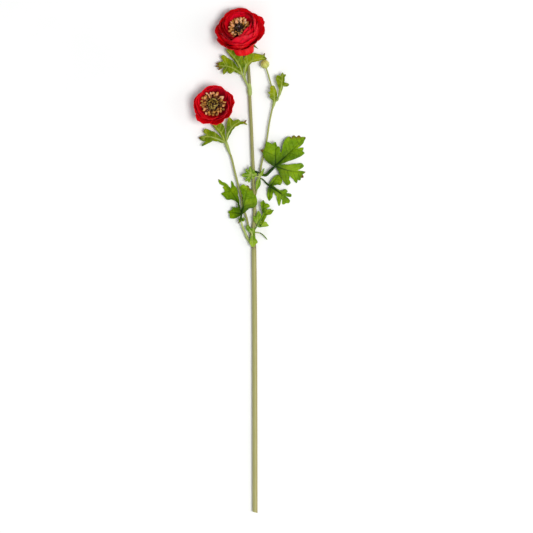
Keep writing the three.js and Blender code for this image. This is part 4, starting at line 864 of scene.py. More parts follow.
# Stem: the main stem and two branches, with a slanted cut. Each route is x, y, z, radius.
stemRoutes = {
    "main": [
        (0, 0, 2.95, 3.05), (-0.2, 134, 2.95, 3.05), (-0.6, 254, 2.95, 3.0), (-1.2, 309, 3.0, 2.95),
        (-1.3, 319, 3.0, 2.75), (-2.0, 336, 3.0, 2.25), (-0.6, 355, 3.1, 2.1), (-0.6, 376, 3.2, 2.05),
        (-1.8, 392, 3.2, 2.0), (-2.0, 410, 3.2, 1.95), (-2.9, 426, 3.3, 1.95), (-4.4, 463, 3.4, 1.9),
        (-6.2, 497, 3.4, 1.9), (-7.2, 524, 3.2, 1.85), (-9.5, 545, 2.8, 1.85), (-13.2, 561, 2.6, 1.85),
        (-16.2, 570.2, 3.4, 1.85), (-17.15, 574.3, 6.4, 1.85), (-17.5, 575.9, 9.2, 1.85)],
    "left": [
        (-1.4, 322, 3.0, 1.2), (-5.5, 335, 4.1, 1.25), (-7.8, 343, 4.5, 1.2), (-11.3, 357, 4.7, 1.2),
        (-14.4, 364, 4.7, 1.2), (-16.0, 376, 4.7, 1.2), (-18.5, 386, 4.7, 1.2), (-22.3, 401, 4.7, 1.2),
        (-24.6, 410, 4.7, 1.2), (-28.2, 425, 4.5, 1.2), (-32.5, 436, 4.3, 1.2), (-35.3, 444.5, 4.1, 1.2),
        (-39.8, 458, 3.6, 1.2), (-44.5, 472, 2.9, 1.2), (-48.0, 482, 2.8, 1.25), (-49.1, 486.8, 4.6, 1.3),
        (-49.35, 488, 8.8, 1.3)],
    "right": [
        (-0.4, 376, 3.2, 1.0), (1.8, 386, 3.6, 1.1), (4.3, 396, 4.0, 1.1), (6.3, 403.5, 4.2, 1.1),
        (6.7, 411, 4.3, 1.1), (9.6, 425, 4.4, 1.05), (13.9, 445, 4.5, 1.05), (17.4, 468, 4.6, 1.0),
        (20.4, 482, 4.8, 1.0), (22.8, 491, 5.0, 1.05), (22.6, 498, 5.2, 1.0), (20.6, 507, 5.4, 0.95),
        (16.9, 521, 5.6, 0.9), (13.0, 533.6, 5.7, 0.9)],
}
stemShape = {
    "sides": 24, "branchSides": 14, "cutSlant": 0.3,
    "nodes": [(378, 5, 1.0), (318, 2.2, 0.9), (440, 4, 0.3)],  # y, reach, strength of the speckles
}

stemSkin = stemMaterial({
    "name": "khakiStemSkin", "blotch": "8e8a50", "ridge": "b4b078", "edges": 0.5, "gloss": 0.4,
    "body": [(0.0, "a8a468"), (0.5, "9e9c5c"), (0.58, "8c9048"), (0.85, "7c8436"), (0.93, "5c6820"),
             (1.0, "6a7a24")]})
branchSkin = stemMaterial({
    "name": "oliveBranchSkin", "body": [(0.0, "7c8438"), (0.4, "8e9840"), (1.0, "94a044")],
    "blotch": "707a30", "ridge": "b0b464", "edges": 0.4, "gloss": 0.4})


def stemPiece(node):
    parts = []
    for key, route in stemRoutes.items():
        thick = key == "main"
        sides = stemShape["sides" if thick else "branchSides"]
        part = rod(node + "_" + key, route, sides, stemShape["cutSlant"] if thick else 0.0)
        layer = part.data.color_attributes["marks"].data
        for vertex, value in zip(part.data.vertices, layer):
            y = vertex.co.y / mm - shift.y
            spot = max(k * math.exp(-(((y - at) / reach) ** 2)) for at, reach, k in stemShape["nodes"])
            value.color = (value.color[0], value.color[1], spot, 1)
        part.data.materials.append(stemSkin if thick else branchSkin)
        parts.append(part)
    dress(node, parts)


stemPiece("stem")

# Bud: a ball of five closed sepals
bud = {
    "centre": (11.8, 537, 5.7), "radius": 5.3, "lean": (-0.3, 0.78, 0.55), "segments": 60, "rings": 32,
    "sepals": 5, "twist": 0.5, "seam": 0.05, "seamSharpness": 8, "nip": 0.03, "nipFrom": 0.8, "uneven": 0.012,
}


def budPiece(node):
    deselectAll()
    bpy.ops.mesh.primitive_uv_sphere_add(segments=bud["segments"], ring_count=bud["rings"], radius=1)
    piece = bpy.context.object
    turn = Vector((0, 0, 1)).rotation_difference(Vector(bud["lean"]))
    marks = []
    for vertex in piece.data.vertices:
        p = vertex.co.copy()
        line = abs(math.sin(bud["sepals"] / 2 * math.atan2(p.y, p.x) + bud["twist"] * p.z))
        seam = math.hypot(p.x, p.y) * line ** bud["seamSharpness"]
        swell = 1 - bud["seam"] * seam - bud["nip"] * smoothStep(p.z, bud["nipFrom"], 1)
        swell += bud["uneven"] * noise.noise(p * 4)
        marks.append((0.5 + 0.5 * p.z, seam, 0))
        vertex.co = toRow(turn @ (p * swell * bud["radius"]) + Vector(bud["centre"]))
    mark(piece, marks)
    piece.data.materials.append(budMaterial())
    dress(node, [piece])


budPiece("bud")

# Fine hairs on the stem, the branches and the bud, closest together towards the blooms. Each
# is a thin three-sided spike. A row is its route, the shares where it starts and ends, and the count.
hairs = {
    "length": (0.9, 2.0), "radius": 0.07, "lean": 0.5, "sink": 0.97, "seed": 7,
    "rows": [("main", 0.05, 0.98, 520), ("left", 0.1, 0.97, 380), ("right", 0.05, 0.98, 380)], "lowest": 1.2,
    "bud": 260, "budLowest": 2, "tipLowest": 0.2,
}
hairSkin = stemMaterial({
    "name": "paleStemHair", "body": [(0.0, "c8cc9c"), (1.0, "d8dab4")],
    "blotch": "c0c490", "ridge": "e0e2c4", "edges": 0.1, "gloss": 0.3})


def addHair(points, faces, foot, outward, draw):
    side = outward.orthogonal().normalized()
    other = outward.cross(side)
    lean = Vector([draw.uniform(-hairs["lean"], hairs["lean"]) for k in range(3)])
    start = len(points)
    for k in range(3):
        a = 2 * math.pi * k / 3
        points.append(foot + (side * math.cos(a) + other * math.sin(a)) * hairs["radius"])
    tip = foot + (outward + lean).normalized() * draw.uniform(*hairs["length"])
    points.append(Vector((tip.x, tip.y, max(tip.z, hairs["tipLowest"]))))
    faces.extend((start + k, start + (k + 1) % 3, start + 3) for k in range(3))


def hairsPiece(name):
    draw = random.Random(hairs["seed"])
    points = []
    faces = []
    for key, low, high, count in hairs["rows"]:
        route = [Vector(p[:3]) for p in stemRoutes[key]]
        radii = [p[3] for p in stemRoutes[key]]
        for n in range(count):
            t = draw.uniform(low, high) * (len(route) - 1)
            k = min(int(t), len(route) - 2)
            along = (route[k + 1] - route[k]).normalized()
            radius = radii[k] + (radii[k + 1] - radii[k]) * (t - k)
            across = along.orthogonal().normalized()
            angle = draw.uniform(0, 2 * math.pi)
            outward = across * math.cos(angle) + along.cross(across) * math.sin(angle)
            foot = route[k].lerp(route[k + 1], t - k) + outward * radius * hairs["sink"]
            if foot.z > hairs["lowest"]:
                addHair(points, faces, foot, outward, draw)
    for n in range(hairs["bud"]):
        outward = Vector([draw.gauss(0, 1) for k in range(3)]).normalized()
        foot = Vector(bud["centre"]) + outward * bud["radius"] * hairs["sink"]
        if foot.z > hairs["budLowest"]:
            addHair(points, faces, foot, outward, draw)
    piece = meshPiece(name, points, faces)
    mark(piece, [(0.5, 0.2, 0)] * len(points))
    piece.data.materials.append(hairSkin)
    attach(piece, "root")
    print("made", name, len(faces), "faces")


hairsPiece("stem_hairs")
print("stem and bud ready")


# Blooms. Each has its own frame, with the axis as +Z.
def placer(bloom, off=(0, 0, 0)):
    turn = Vector((0, 0, 1)).rotation_difference(Vector(bloom["axis"]))
    base = Vector(bloom["base"])
    return lambda p: turn @ (Vector(p) + Vector(off)) + base


def ringPoint(radius, height, angle):
    return Vector((radius * math.cos(angle), radius * math.sin(angle), height))


petalShape = {
    "across": 20, "along": 26, "steps": 40, "thickness": 0.38,
    "outline": (0.09, 0.62), "fullness": 0.9, "round": 0.2, "corner": 2.6,  # the width from root to tip
    "widest": 1.15, "clawShare": 0.85, "opening": (0.05, 0.38), "curl": 1.3,  # how it wraps and rises
    "waves": 2.6, "crinkle": 0.3, "crinkles": (3.1, 4.2), "crinkleScale": 1.7,
    "crease": 0.3, "creaseWidth": 0.16, "frill": 0.25, "frills": 6.5, "frillFrom": 0.55,
    "roll": 0.5, "rollFrom": 0.82, "rimFrom": 0.93, "ragged": 0.008,
    "notch": 0.03, "notchWidth": 0.14, "notchDrift": 0.2,
    "nearness": (-0.3, 0.9), "angleDrift": 5, "lengthDrift": 0.03, "toneDrift": 0.12,  # petal to petal
}


def petalLine(petal):  # radius and height along the middle of a petal, from its root to its tip
    shape = petalShape
    start, end = (math.radians(a) for a in petal["rise"])
    r, h = petal["root"]
    line = [(r, h)]
    step = petal["length"] / shape["steps"]
    for i in range(shape["steps"]):
        angle = start + (end - start) * ((i + 0.5) / shape["steps"]) ** shape["curl"]
        r += step * math.cos(angle)
        h += step * math.sin(angle)
        line.append((r, h))
    return line


def petalPoint(petal, line, u, v, seed):
    shape = petalShape
    s = u * (1 - petal.get("round", shape["round"]) * abs(v) ** shape["corner"])
    start, end = (math.radians(a) for a in petal["rise"])
    angle = start + (end - start) * s ** shape["curl"]
    k = min(int(s * shape["steps"]), shape["steps"] - 1)
    (ra, ha), (rb, hb) = line[k], line[k + 1]
    part = s * shape["steps"] - k
    radius = ra + (rb - ra) * part
    height = ha + (hb - ha) * part
    foot, spread = shape["outline"]
    width = petal["halfWidth"] * math.sin(math.pi * (foot + spread * s)) ** shape["fullness"]
    opened = smoothStep(s, *shape["opening"])
    turn = min(width / radius, petal["claw"] + (shape["widest"] - petal["claw"]) * opened)
    spot = Vector((shape["crinkles"][0] * v, shape["crinkles"][1] * s, seed))
    offset = petal["tuck"] * opened * v
    offset += petal["wave"] * s * s * math.sin(shape["waves"] * math.pi * v + petal["phase"])
    offset += shape["crinkle"] * opened * noise.noise(spot * shape["crinkleScale"])
    rim = smoothStep(u, shape["frillFrom"], 1.0)
    offset += shape["frill"] * rim * noise.noise(Vector((shape["frills"] * v, seed, 2.0)))
    offset += shape["crease"] * opened * (1 - s) * math.exp(-((v / shape["creaseWidth"]) ** 2))
    offset -= shape["roll"] * smoothStep(s, shape["rollFrom"], 1.0) ** 2
    azimuth = petal["azimuth"] + turn * v
    return ringPoint(radius - offset * math.sin(angle), height + offset * math.cos(angle), azimuth)


def petalPiece(name, petal, place, seed):
    shape = petalShape
    piece = addSheet(name, shape["across"], shape["along"])
    dip = shape["notch"] * (0.5 + 0.5 * math.sin(9.1 * seed))
    dipAt = shape["notchDrift"] * math.sin(5 * seed)
    tone = min(max(petal["crimson"] + shape["toneDrift"] * math.sin(7.3 * seed + 1.1), 0), 1)
    marks = []
    line = petalLine(petal)
    for vertex in piece.data.vertices:
        v, u = vertex.co.x, (vertex.co.y + 1) / 2
        reach = u * (1 - dip * math.exp(-(((v - dipAt) / shape["notchWidth"]) ** 2)))
        reach *= 1 + shape["ragged"] * noise.noise(Vector((5 * v, seed, 5.0)))
        p = place(petalPoint(petal, line, reach, v, seed))
        p.z = max(p.z, 0.5 * shape["thickness"])
        vertex.co = toRow(p)
        edge = max(smoothStep(u, shape["rimFrom"], 1.0), smoothStep(abs(v), shape["rimFrom"], 1.0))
        marks.append((u, edge, tone))
    mark(piece, marks)
    thicken(piece, shape["thickness"])
    return piece


def turned(name, profile, place, sides=32):  # a profile of radius, height, turned about the axis
    points = []
    faces = []
    for radius, height in profile:
        points += [place(ringPoint(radius, height, 2 * math.pi * k / sides)) for k in range(sides)]
    for i in range(len(profile) - 1):
        for k in range(sides):
            a, b = i * sides + k, i * sides + (k + 1) % sides
            faces.append((a, b, b + sides, a + sides))
    piece = meshPiece(name, points, faces)
    mark(piece, [(0.0, 0.5, 0.5)] * len(points))
    edit = bmesh.new()
    edit.from_mesh(piece.data)
    bmesh.ops.remove_doubles(edit, verts=edit.verts, dist=1e-6)
    bmesh.ops.recalc_face_normals(edit, faces=edit.faces)
    edit.to_mesh(piece.data)
    edit.free()
    return piece


def petalsPiece(bloom, place, petalSkin):
    shape = petalShape
    parts = [turned(bloom["node"] + "_core", bloom["core"], place)]
    petals = []
    for whorl in bloom["whorls"]:
        first, (farLength, nearLength) = whorl["first"], whorl["length"]
        for i in range(whorl["count"]):
            degrees = first + 360 * i / whorl["count"] + shape["angleDrift"] * math.sin(3.1 * i + first)
            near = smoothStep(math.cos(math.radians(degrees - whorl["towards"])), *shape["nearness"])
            length = farLength + (nearLength - farLength) * near
            # a whorl's petals take more of the crimson ramp on the side it leans towards: painted shade on
            # the small bloom's cup wall
            petals.append({
                **whorl, "length": length * (1 + shape["lengthDrift"] * math.sin(5.3 * i + first)),
                "rise": [a + (b - a) * near for a, b in zip(whorl["rise"], whorl["nearRise"])],
                "azimuth": math.radians(degrees), "claw": shape["clawShare"] * math.pi / whorl["count"],
                "phase": 1.7 * i + first, "crimson": whorl["crimson"] * (0.25 + 0.75 * near)})
    for group in ("outer", "middle", "inner"):
        for i, (azimuth, length, halfWidth, *rise) in enumerate(bloom.get(group + "Petals", [])):
            petals.append({
                **bloom[group], "azimuth": math.radians(azimuth), "length": length, "halfWidth": halfWidth,
                "rise": rise, "phase": 1.7 * i})
    for extra in bloom.get("extras", []):
        petals.append({**extra, "azimuth": math.radians(extra["azimuth"])})
    for i, petal in enumerate(petals):
        parts.append(petalPiece(bloom["node"] + "_petal" + str(i), petal, place, 1.37 * i + 0.4))
    for part in parts:
        part.data.materials.append(petalSkin)
    dress(bloom["node"], parts)


# One small form, modelled once: its points and faces are laid again for each copy.
def formOf(shaper, segments, rings):
    deselectAll()
    bpy.ops.mesh.primitive_uv_sphere_add(segments=segments, ring_count=rings, radius=1)
    ball = bpy.context.object
    points = []
    marks = []
    for vertex in ball.data.vertices:
        point, value = shaper(vertex.co.copy())
        points.append(point)
        marks.append(value)
    faces = [list(face.vertices) for face in ball.data.polygons]
    bpy.data.objects.remove(ball)
    return points, faces, marks


def newHeap():  # the points, faces and marks of many copies
    return {"points": [], "faces": [], "marks": []}


def addCopy(heap, form, setting, tint):  # one more copy of a small form in the heap
    start = len(heap["points"])
    points, faces, marks = form
    heap["points"] += [setting(p) for p in points]
    heap["faces"] += [[start + i for i in face] for face in faces]
    heap["marks"] += [(tint, *m) for m in marks]


def heapPiece(name, heap, skin):
    made = meshPiece(name, heap["points"], heap["faces"])
    mark(made, heap["marks"])
    made.data.materials.append(skin)
    return made


def alongAxis(place, foot, head, width, roll):  # sets a form between two points of a bloom
    span = Vector(head) - Vector(foot)
    turn = Vector((0, 0, 1)).rotation_difference(span) @ Quaternion((0, 0, 1), roll)
    scale = Vector((width, width, span.length))
    return lambda p: place(Vector(foot) + turn @ Vector([a * b for a, b in zip(p, scale)]))


stamenShape = {
    "belly": 0.25, "taper": 0.15, "flatness": 0.36, "bow": 0.12,
    "groove": 0.2, "grooveWidth": 0.25, "backGroove": 0.4,
    "threadRadius": 0.06, "threadBow": 0.1, "threadWidth": 4.0, "threadTone": (0.15, 0.4),
    "antherMesh": (8, 7), "threadMesh": (5, 6),  # segments and rings
    "spacing": 0.3, "reach": (-1.3, 0.7), "lift": (-0.9, 0.7), "footDrift": 0.05, "headDrift": 0.22,
    "headLift": 0.8, "width": (0.75, 1.35), "roll": 0.7,  # how one differs from the next
}


def antherForm(p):  # a flattened pair of pollen sacs with a groove between them, 1 unit long
    shape = stamenShape
    t = 0.5 + 0.5 * p.z
    swell = 0.5 * (1 + shape["belly"] * math.sin(math.pi * t) - shape["taper"] * t)
    groove = math.exp(-((p.x / shape["grooveWidth"]) ** 2)) * (1 if p.y < 0 else shape["backGroove"])
    y = p.y * (shape["flatness"] - shape["groove"] * groove) + shape["bow"] * math.sin(math.pi * t)
    return Vector((p.x * swell, y, t)), (t, groove * (1 - abs(p.z)))


def filamentForm(p):  # a thin bent thread, 1 unit long
    shape = stamenShape
    t = 0.5 + 0.5 * p.z
    y = p.y * shape["threadRadius"] + shape["threadBow"] * math.sin(math.pi * t)
    low, rise = shape["threadTone"]
    return Vector((p.x * shape["threadRadius"], y, t)), (low + rise * t, 0)


def stamensPiece(bloom, place, antherSkin, cushionSkin):
    shape = stamenShape
    draw = random.Random(bloom["seed"])
    anther = formOf(antherForm, *shape["antherMesh"])
    filament = formOf(filamentForm, *shape["threadMesh"])
    heap = newHeap()
    at, spread, outward, upward = bloom["bulge"]
    tone, toneSwing, paleAt = bloom["tint"]
    for row in bloom["rows"]:
        for i in range(row["count"]):
            spacing = draw.uniform(-shape["spacing"], shape["spacing"])
            angle = 2 * math.pi * (i + row["turn"] + spacing) / row["count"]
            bulge = math.exp(-((math.remainder(math.degrees(angle) - at, 360) / spread) ** 2))
            reach = draw.uniform(*shape["reach"]) + outward * bulge
            lift = draw.uniform(*shape["lift"]) + upward * bulge
            foot = ringPoint(*row["foot"], angle + draw.uniform(-shape["footDrift"], shape["footDrift"]))
            knee = ringPoint(row["knee"][0] + reach, row["knee"][1] + lift, angle)
            headAngle = angle + draw.uniform(-shape["headDrift"], shape["headDrift"])
            headLift = draw.uniform(-shape["headLift"], shape["headLift"])
            head = ringPoint(row["head"][0] + reach, row["head"][1] + lift + headLift, headAngle)
            own = tone + toneSwing * math.cos(angle - math.radians(paleAt))
            tint = min(max(own + row["tone"] + draw.uniform(-1, 1) * bloom["toneSpread"], 0), 1)
            width = row["width"] * draw.uniform(*shape["width"])
            roll = draw.uniform(-shape["roll"], shape["roll"]) + math.pi / 2 + angle
            addCopy(heap, filament, alongAxis(place, foot, knee, shape["threadWidth"], 0), tint)
            addCopy(heap, anther, alongAxis(place, knee, head, width, roll), tint)
    cushion = turned(bloom["stamens"] + "_cushion", bloom["cushion"], place)
    cushion.data.materials.append(cushionSkin)
    parts = [heapPiece(bloom["stamens"] + "_ring", heap, antherSkin), cushion]
    dress(bloom["stamens"], parts)


carpelShape = {
    "base": 1.1, "taper": 0.75, "bow": 0.45, "goldenAngle": 137.508, "lowest": 82, "angleDrift": 0.1,
    "swirl": (0.3, 1.0), "inward": (-0.2, 0.9), "stretch": (0.8, 1.2), "lift": 0.25, "sink": 0.2,
    "under": (0.5, 0.9), "domeShare": 0.97, "domeRings": 8, "mesh": (6, 7),  # segments and rings
    "paleTips": 3, "hollowEdge": 0.2, "rimTone": 0.7, "ownTone": 0.25,
}


def carpelForm(p):  # a bent beak that lies along the dome and lifts at its tip
    shape = carpelShape
    t = 0.5 + 0.5 * p.z
    swell = 0.5 * (shape["base"] - shape["taper"] * t)
    return Vector((p.x * swell, p.y * swell + shape["bow"] * math.sin(math.pi * t), t)), (t, abs(p.x))


def carpelsPiece(bloom, place, carpelSkin, domeSkin):
    draw = random.Random(bloom["seed"] + 5)
    shape, values = carpelShape, bloom["carpels"]
    beak = formOf(carpelForm, *shape["mesh"])
    heap = newHeap()
    foot, top = values["foot"], values["foot"] + values["height"]
    outer, height = values["radius"] - shape["under"][0], values["height"] - shape["under"][1]
    for i in range(values["count"]):
        share = math.sqrt((i + 0.5) / values["count"])
        drift = draw.uniform(-shape["angleDrift"], shape["angleDrift"])
        angle = i * math.radians(shape["goldenAngle"]) + drift
        tilt = share * math.radians(shape["lowest"])
        normal = ringPoint(math.sin(tilt), math.cos(tilt), angle)
        spot = Vector((outer * normal.x, outer * normal.y, foot + height * normal.z))
        along = Vector((-math.sin(angle), math.cos(angle), 0))
        swirl = along * draw.uniform(*shape["swirl"]) * values["swirl"]
        lie = swirl - ringPoint(1, 0, angle) * draw.uniform(*shape["inward"])
        lie -= normal * lie.dot(normal)
        stretch = draw.uniform(*shape["stretch"])
        head = spot + lie.normalized() * values["length"] * stretch + normal * shape["lift"]
        head.z = min(head.z, top)
        root = spot - normal * shape["sink"]
        setting = alongAxis(place, root, head, values["width"], draw.uniform(0, 6))
        tint = draw.random()
        if values["hollow"]:  # dark in the middle, round a few pale tips
            paler = smoothStep(share, values["hollow"] - shape["hollowEdge"], 1) * shape["rimTone"]
            tint = 1 if i < shape["paleTips"] else paler + shape["ownTone"] * tint * share
        addCopy(heap, beak, setting, tint)
    profile = [(0, foot)]
    for k in range(shape["domeRings"] + 1):
        a = math.radians(90 * k / shape["domeRings"])
        rim, rise = outer * math.cos(a), height * math.sin(a)
        profile.append((rim * shape["domeShare"], foot + rise * shape["domeShare"]))
    dome = turned(bloom["carpelsNode"] + "_dome", profile, place)
    dome.data.materials.append(domeSkin)
    parts = [heapPiece(bloom["carpelsNode"] + "_beaks", heap, carpelSkin), dome]
    dress(bloom["carpelsNode"], parts)


sepalShape = {
    "across": 8, "along": 14, "root": (3, -2.5), "outline": (0.3, 0.69), "least": 0.03, "droop": 0.1,
    "uneven": 0.15, "ribWidth": 0.15, "thickness": 0.45, "lowest": 0.25,
    "fall": (-14, -29), "halfWidth": 3.1, "longFall": (-34, -16), "longHalfWidth": 2.4,
}


def sepalPiece(name, azimuth, length, fall, halfWidth, place):
    shape = sepalShape
    piece = addSheet(name, shape["across"], shape["along"])
    azimuth = math.radians(azimuth)
    foot, spread = shape["outline"]
    marks = []
    for vertex in piece.data.vertices:
        v, s = vertex.co.x, (vertex.co.y + 1) / 2
        angle = math.radians(fall[0] + (fall[1] - fall[0]) * s)
        r = shape["root"][0] + length * s * math.cos(angle)
        h = shape["root"][1] + length * s * math.sin(angle)
        across = halfWidth * max(math.sin(math.pi * (foot + spread * s)), shape["least"]) * v
        drop = shape["droop"] * abs(across) ** 1.5
        drop += shape["uneven"] * noise.noise(Vector((2 * v, 3 * s, azimuth)))
        p = place((r * math.cos(azimuth) - across * math.sin(azimuth),
                   r * math.sin(azimuth) + across * math.cos(azimuth), h - drop))
        p.z = max(p.z, shape["lowest"])
        vertex.co = toRow(p)
        marks.append((math.exp(-((v / shape["ribWidth"]) ** 2)) * (1 - s), 0, s))
    mark(piece, marks)
    thicken(piece, shape["thickness"])
    return piece


def calyxPiece(bloom, place, bractSkin):
    shape, calyx = sepalShape, bloom["calyx"]
    parts = [turned(calyx["node"] + "_ring", calyx["ring"], place)]
    sepals = [(calyx["first"] + 72 * k, calyx["length"], shape["fall"], shape["halfWidth"]) for k in range(5)]
    if calyx["long"]:
        sepals.append((*calyx["long"], shape["longFall"], shape["longHalfWidth"]))
    for k, sepal in enumerate(sepals):
        parts.append(sepalPiece(calyx["node"] + "_sepal" + str(k), *sepal, place))
    for part in parts:
        part.data.materials.append(bractSkin)
    dress(calyx["node"], parts)


# Finishes of the blooms
# Large bloom's petals: the dark rim colour is a painted shadow line between the layers.
petalSkin = petalMaterial({
    "name": "freshWaxyPetal", "body": [(0.0, "400006"), (0.42, "880008"), (0.7, "d0000a"), (1.0, "ee040c")],
    "crimson": [(0.0, "44000a"), (0.38, "940018"), (0.66, "d60024"), (1.0, "e80028")],
    "light": "f0142c", "dark": "84000a", "paintedCreaseShade": "a8000e", "rim": "8c000a", "edge": 0.6})
# Small bloom's petals: the near-black root and the dark crimson ramp are painted shade in the cup, the bright
# rim colour a painted highlight.
bowlPetalSkin = petalMaterial({
    "name": "bowlPetalPaintedShade", "body": [(0.0, "2c0004"), (0.45, "7c0008"), (0.75, "cc000a"), (1.0, "f0040e")],
    "crimson": [(0.0, "24000a"), (0.5, "5c0010"), (0.82, "a8001e"), (1.0, "d40028")],
    "light": "f8202c", "dark": "80000c", "paintedCreaseShade": "9c000c", "rim": "e81020", "edge": 0.6})
antherSkin = dustyMaterial({
    "name": "pollenDustedAnther", "rough": 0.75, "grain": 2200.0, "dusting": 0.4, "foot": (0.0, 0.4),
    "body": [(0.0, "4c3008"), (0.2, "7c4e10"), (0.4, "b0701c"), (0.6, "d08c40"), (0.8, "e8a070"),
             (1.0, "f6d0a4")],
    "dust": "ecc080", "pit": "300a06", "seam": 0.9})
duskyCarpelSkin = dustyMaterial({
    "name": "duskyCarpel", "rough": 0.6, "grain": 1800.0, "dusting": 0.3, "foot": (0.15, 0.8),
    "body": [(0.0, "20101c"), (0.3, "4c3820"), (0.7, "846c30"), (1.0, "b8a0a0")], "dust": "403020",
    "pit": "160810", "seam": 0.3})
oliveCarpelSkin = dustyMaterial({
    "name": "oliveCarpel", "rough": 0.6, "grain": 1800.0, "dusting": 0.3, "foot": (0.1, 0.6),
    "body": [(0.0, "5c4810"), (0.5, "ac8c30"), (1.0, "e8cc70")], "dust": "806420", "pit": "200a08",
    "seam": 0.3})
domeSkin = dustyMaterial({
    "name": "darkReceptacle", "rough": 0.7, "grain": 1400.0, "dusting": 0.4, "foot": (0.0, 0.1),
    "body": [(0.0, "2a0c12"), (1.0, "34101a")], "dust": "3c1418", "pit": "1a0610", "seam": 0.0})

# The two blooms. A petal rises by one angle at its root and by another at its tip, in degrees.
# In a whorl, length, rise and crimson go over to the second length, to nearRise and
# to more of the crimson ramp on the side that it leans towards; in the small bloom that
# side's darker ramp is painted shade on the right wall of its cup. tint: the tone of the stamens,
# its swing and its palest side. bulge: the side where they stand out, its spread, and how far
# outwards and upwards.
largeBloom = {
    "base": (-17.4, 575.4, 8.2), "axis": (-0.11, 0.46, 0.88), "node": "large_bloom_petals",
    "whorls": [
        {"count": 5, "first": 20, "root": (4.8, 1.6), "length": (24.8, 32.1), "halfWidth": 17.0,
         "rise": (8, 64), "nearRise": (-36, 131), "towards": -88, "tuck": 0.6, "wave": 0.25, "crimson": 0.2},
        {"count": 5, "first": -15, "root": (5.0, 2.9), "length": (23.6, 32.6), "halfWidth": 16.0,
         "rise": (16, 80), "nearRise": (-36, 143), "towards": -75, "tuck": 0.6, "wave": 0.25, "crimson": 0.5},
        {"count": 4, "first": 30, "root": (5.4, 4.2), "length": (21.6, 32.3), "halfWidth": 16.0,
         "rise": (22, 90), "nearRise": (-36, 154), "towards": -60, "tuck": 0.5, "wave": 0.2, "crimson": 0.9},
        {"count": 4, "first": 10, "root": (6.0, 5.5), "length": (18.6, 32.0), "halfWidth": 14.0,
         "rise": (24, 96), "nearRise": (-34, 165), "towards": -55, "tuck": 0.4, "wave": 0.2, "crimson": 1.0}],
    "outer": {"root": (4.5, 0.4), "tuck": 0.6, "wave": 0.4, "claw": 0.5, "crimson": 0.0},
    "outerPetals": [  # azimuth, length, half width, rise at the root and at the tip
        (22, 27.9, 11.5, 2, 36), (84, 24.2, 17.5, 2, 42), (140, 22.8, 16, 2, 44), (190, 28.4, 16, -10, 62),
        (232, 35.0, 16.5, -30, 92), (-92, 31.6, 16, -38, 112), (-48, 31.0, 16, -34, 90),
        (-8, 28.5, 13, -12, 52)],
    "middle": {"root": (5.8, 4.6), "tuck": 0.4, "wave": 0.2, "claw": 0.5, "crimson": 0.4},
    "middlePetals": [
        (-98, 29.0, 13, -34, 114), (-58, 28.8, 13, -30, 112),
        (-132, 22.0, 13, -30, 96), (-146, 21.5, 12, -26, 86), (-114, 24.5, 12, -30, 112),
        (-8, 24.0, 12, -4, 128), (20, 22.0, 11, 8, 110), (-42, 26.0, 12, -12, 148), (-75, 27.5, 12, -24, 150),
        (-168, 19.5, 12, -6, 84), (175, 19.0, 12, 4, 84)],
    "inner": {"root": (6.5, 6.8), "tuck": 0.5, "wave": 0.4, "claw": 0.5, "crimson": 0.9, "round": 0.3},
    "innerPetals": [
        (25, 17.4, 12, 26, 92), (82, 17.4, 12, 26, 92), (140, 16.0, 12, 10, 90), (198, 15.0, 11, 2, 88),
        (-150, 15.6, 11, -10, 88), (-126, 17.0, 11, -22, 98), (-104, 19.0, 11, -22, 118),
        (-70, 21.5, 10, -12, 144), (-18, 20.0, 11, 4, 138), (55, 15.4, 10, 30, 90), (112, 15.4, 10, 28, 90),
        (166, 14.5, 10, 6, 78), (6, 17.0, 10, 22, 104), (-42, 20.5, 10.5, 4, 152)],
    "extras": [
        {"azimuth": -79, "root": (4.5, -0.4), "length": 25.6, "halfWidth": 13, "rise": (-8, -48),
         "tuck": 0.3, "wave": 0.6, "claw": 0.5, "phase": 0.6, "crimson": 0.0, "round": 0.03}],
    "core": [(0, -1.4), (4.6, -1.4), (7.4, 1.4), (8.0, 5.0), (7.8, 8.6), (0, 8.6)],
    "stamens": "large_bloom_stamens", "seed": 11,
    "cushion": [(0, 8.9), (7.6, 8.9), (8.4, 10.6), (7.6, 12.2), (0, 12.2)],
    # the rows' tone falls from the outer row to the inner: partly the anthers' own tone, partly painted shade
    # deep in the ring
    "rows": [
        {"count": 22, "turn": 0.0, "foot": (6.6, 11.2), "knee": (9.4, 13.4), "head": (13.4, 15.4),
         "width": 2.9, "tone": 0.1},
        {"count": 19, "turn": 0.5, "foot": (6.2, 11.2), "knee": (8.0, 14.2), "head": (11.4, 17.2),
         "width": 2.6, "tone": 0.0},
        {"count": 17, "turn": 0.2, "foot": (5.8, 11.2), "knee": (6.2, 13.8), "head": (8.8, 17.0),
         "width": 1.9, "tone": -0.14}],
    "tint": (0.64, 0.1, 60), "toneSpread": 0.36, "bulge": (-128, 34, 1.6, -1.6), "off": (0.3, -1.5, 0),
    "carpelsNode": "large_bloom_carpels",
    "carpels": {"radius": 5.2, "foot": 11.9, "height": 4.6, "count": 46, "length": 2.8, "width": 1.3,
                "swirl": 0.3, "hollow": 0.5, "off": (0.7, -2.3, 0)},
    "calyx": {"node": "large_bloom_calyx", "first": 54, "length": 11, "long": (-42, 25.5),
              "ring": [(0, -3.6), (3.9, -3.4), (4.6, -2.4), (4.2, -1.7), (0, -1.7)]},
}
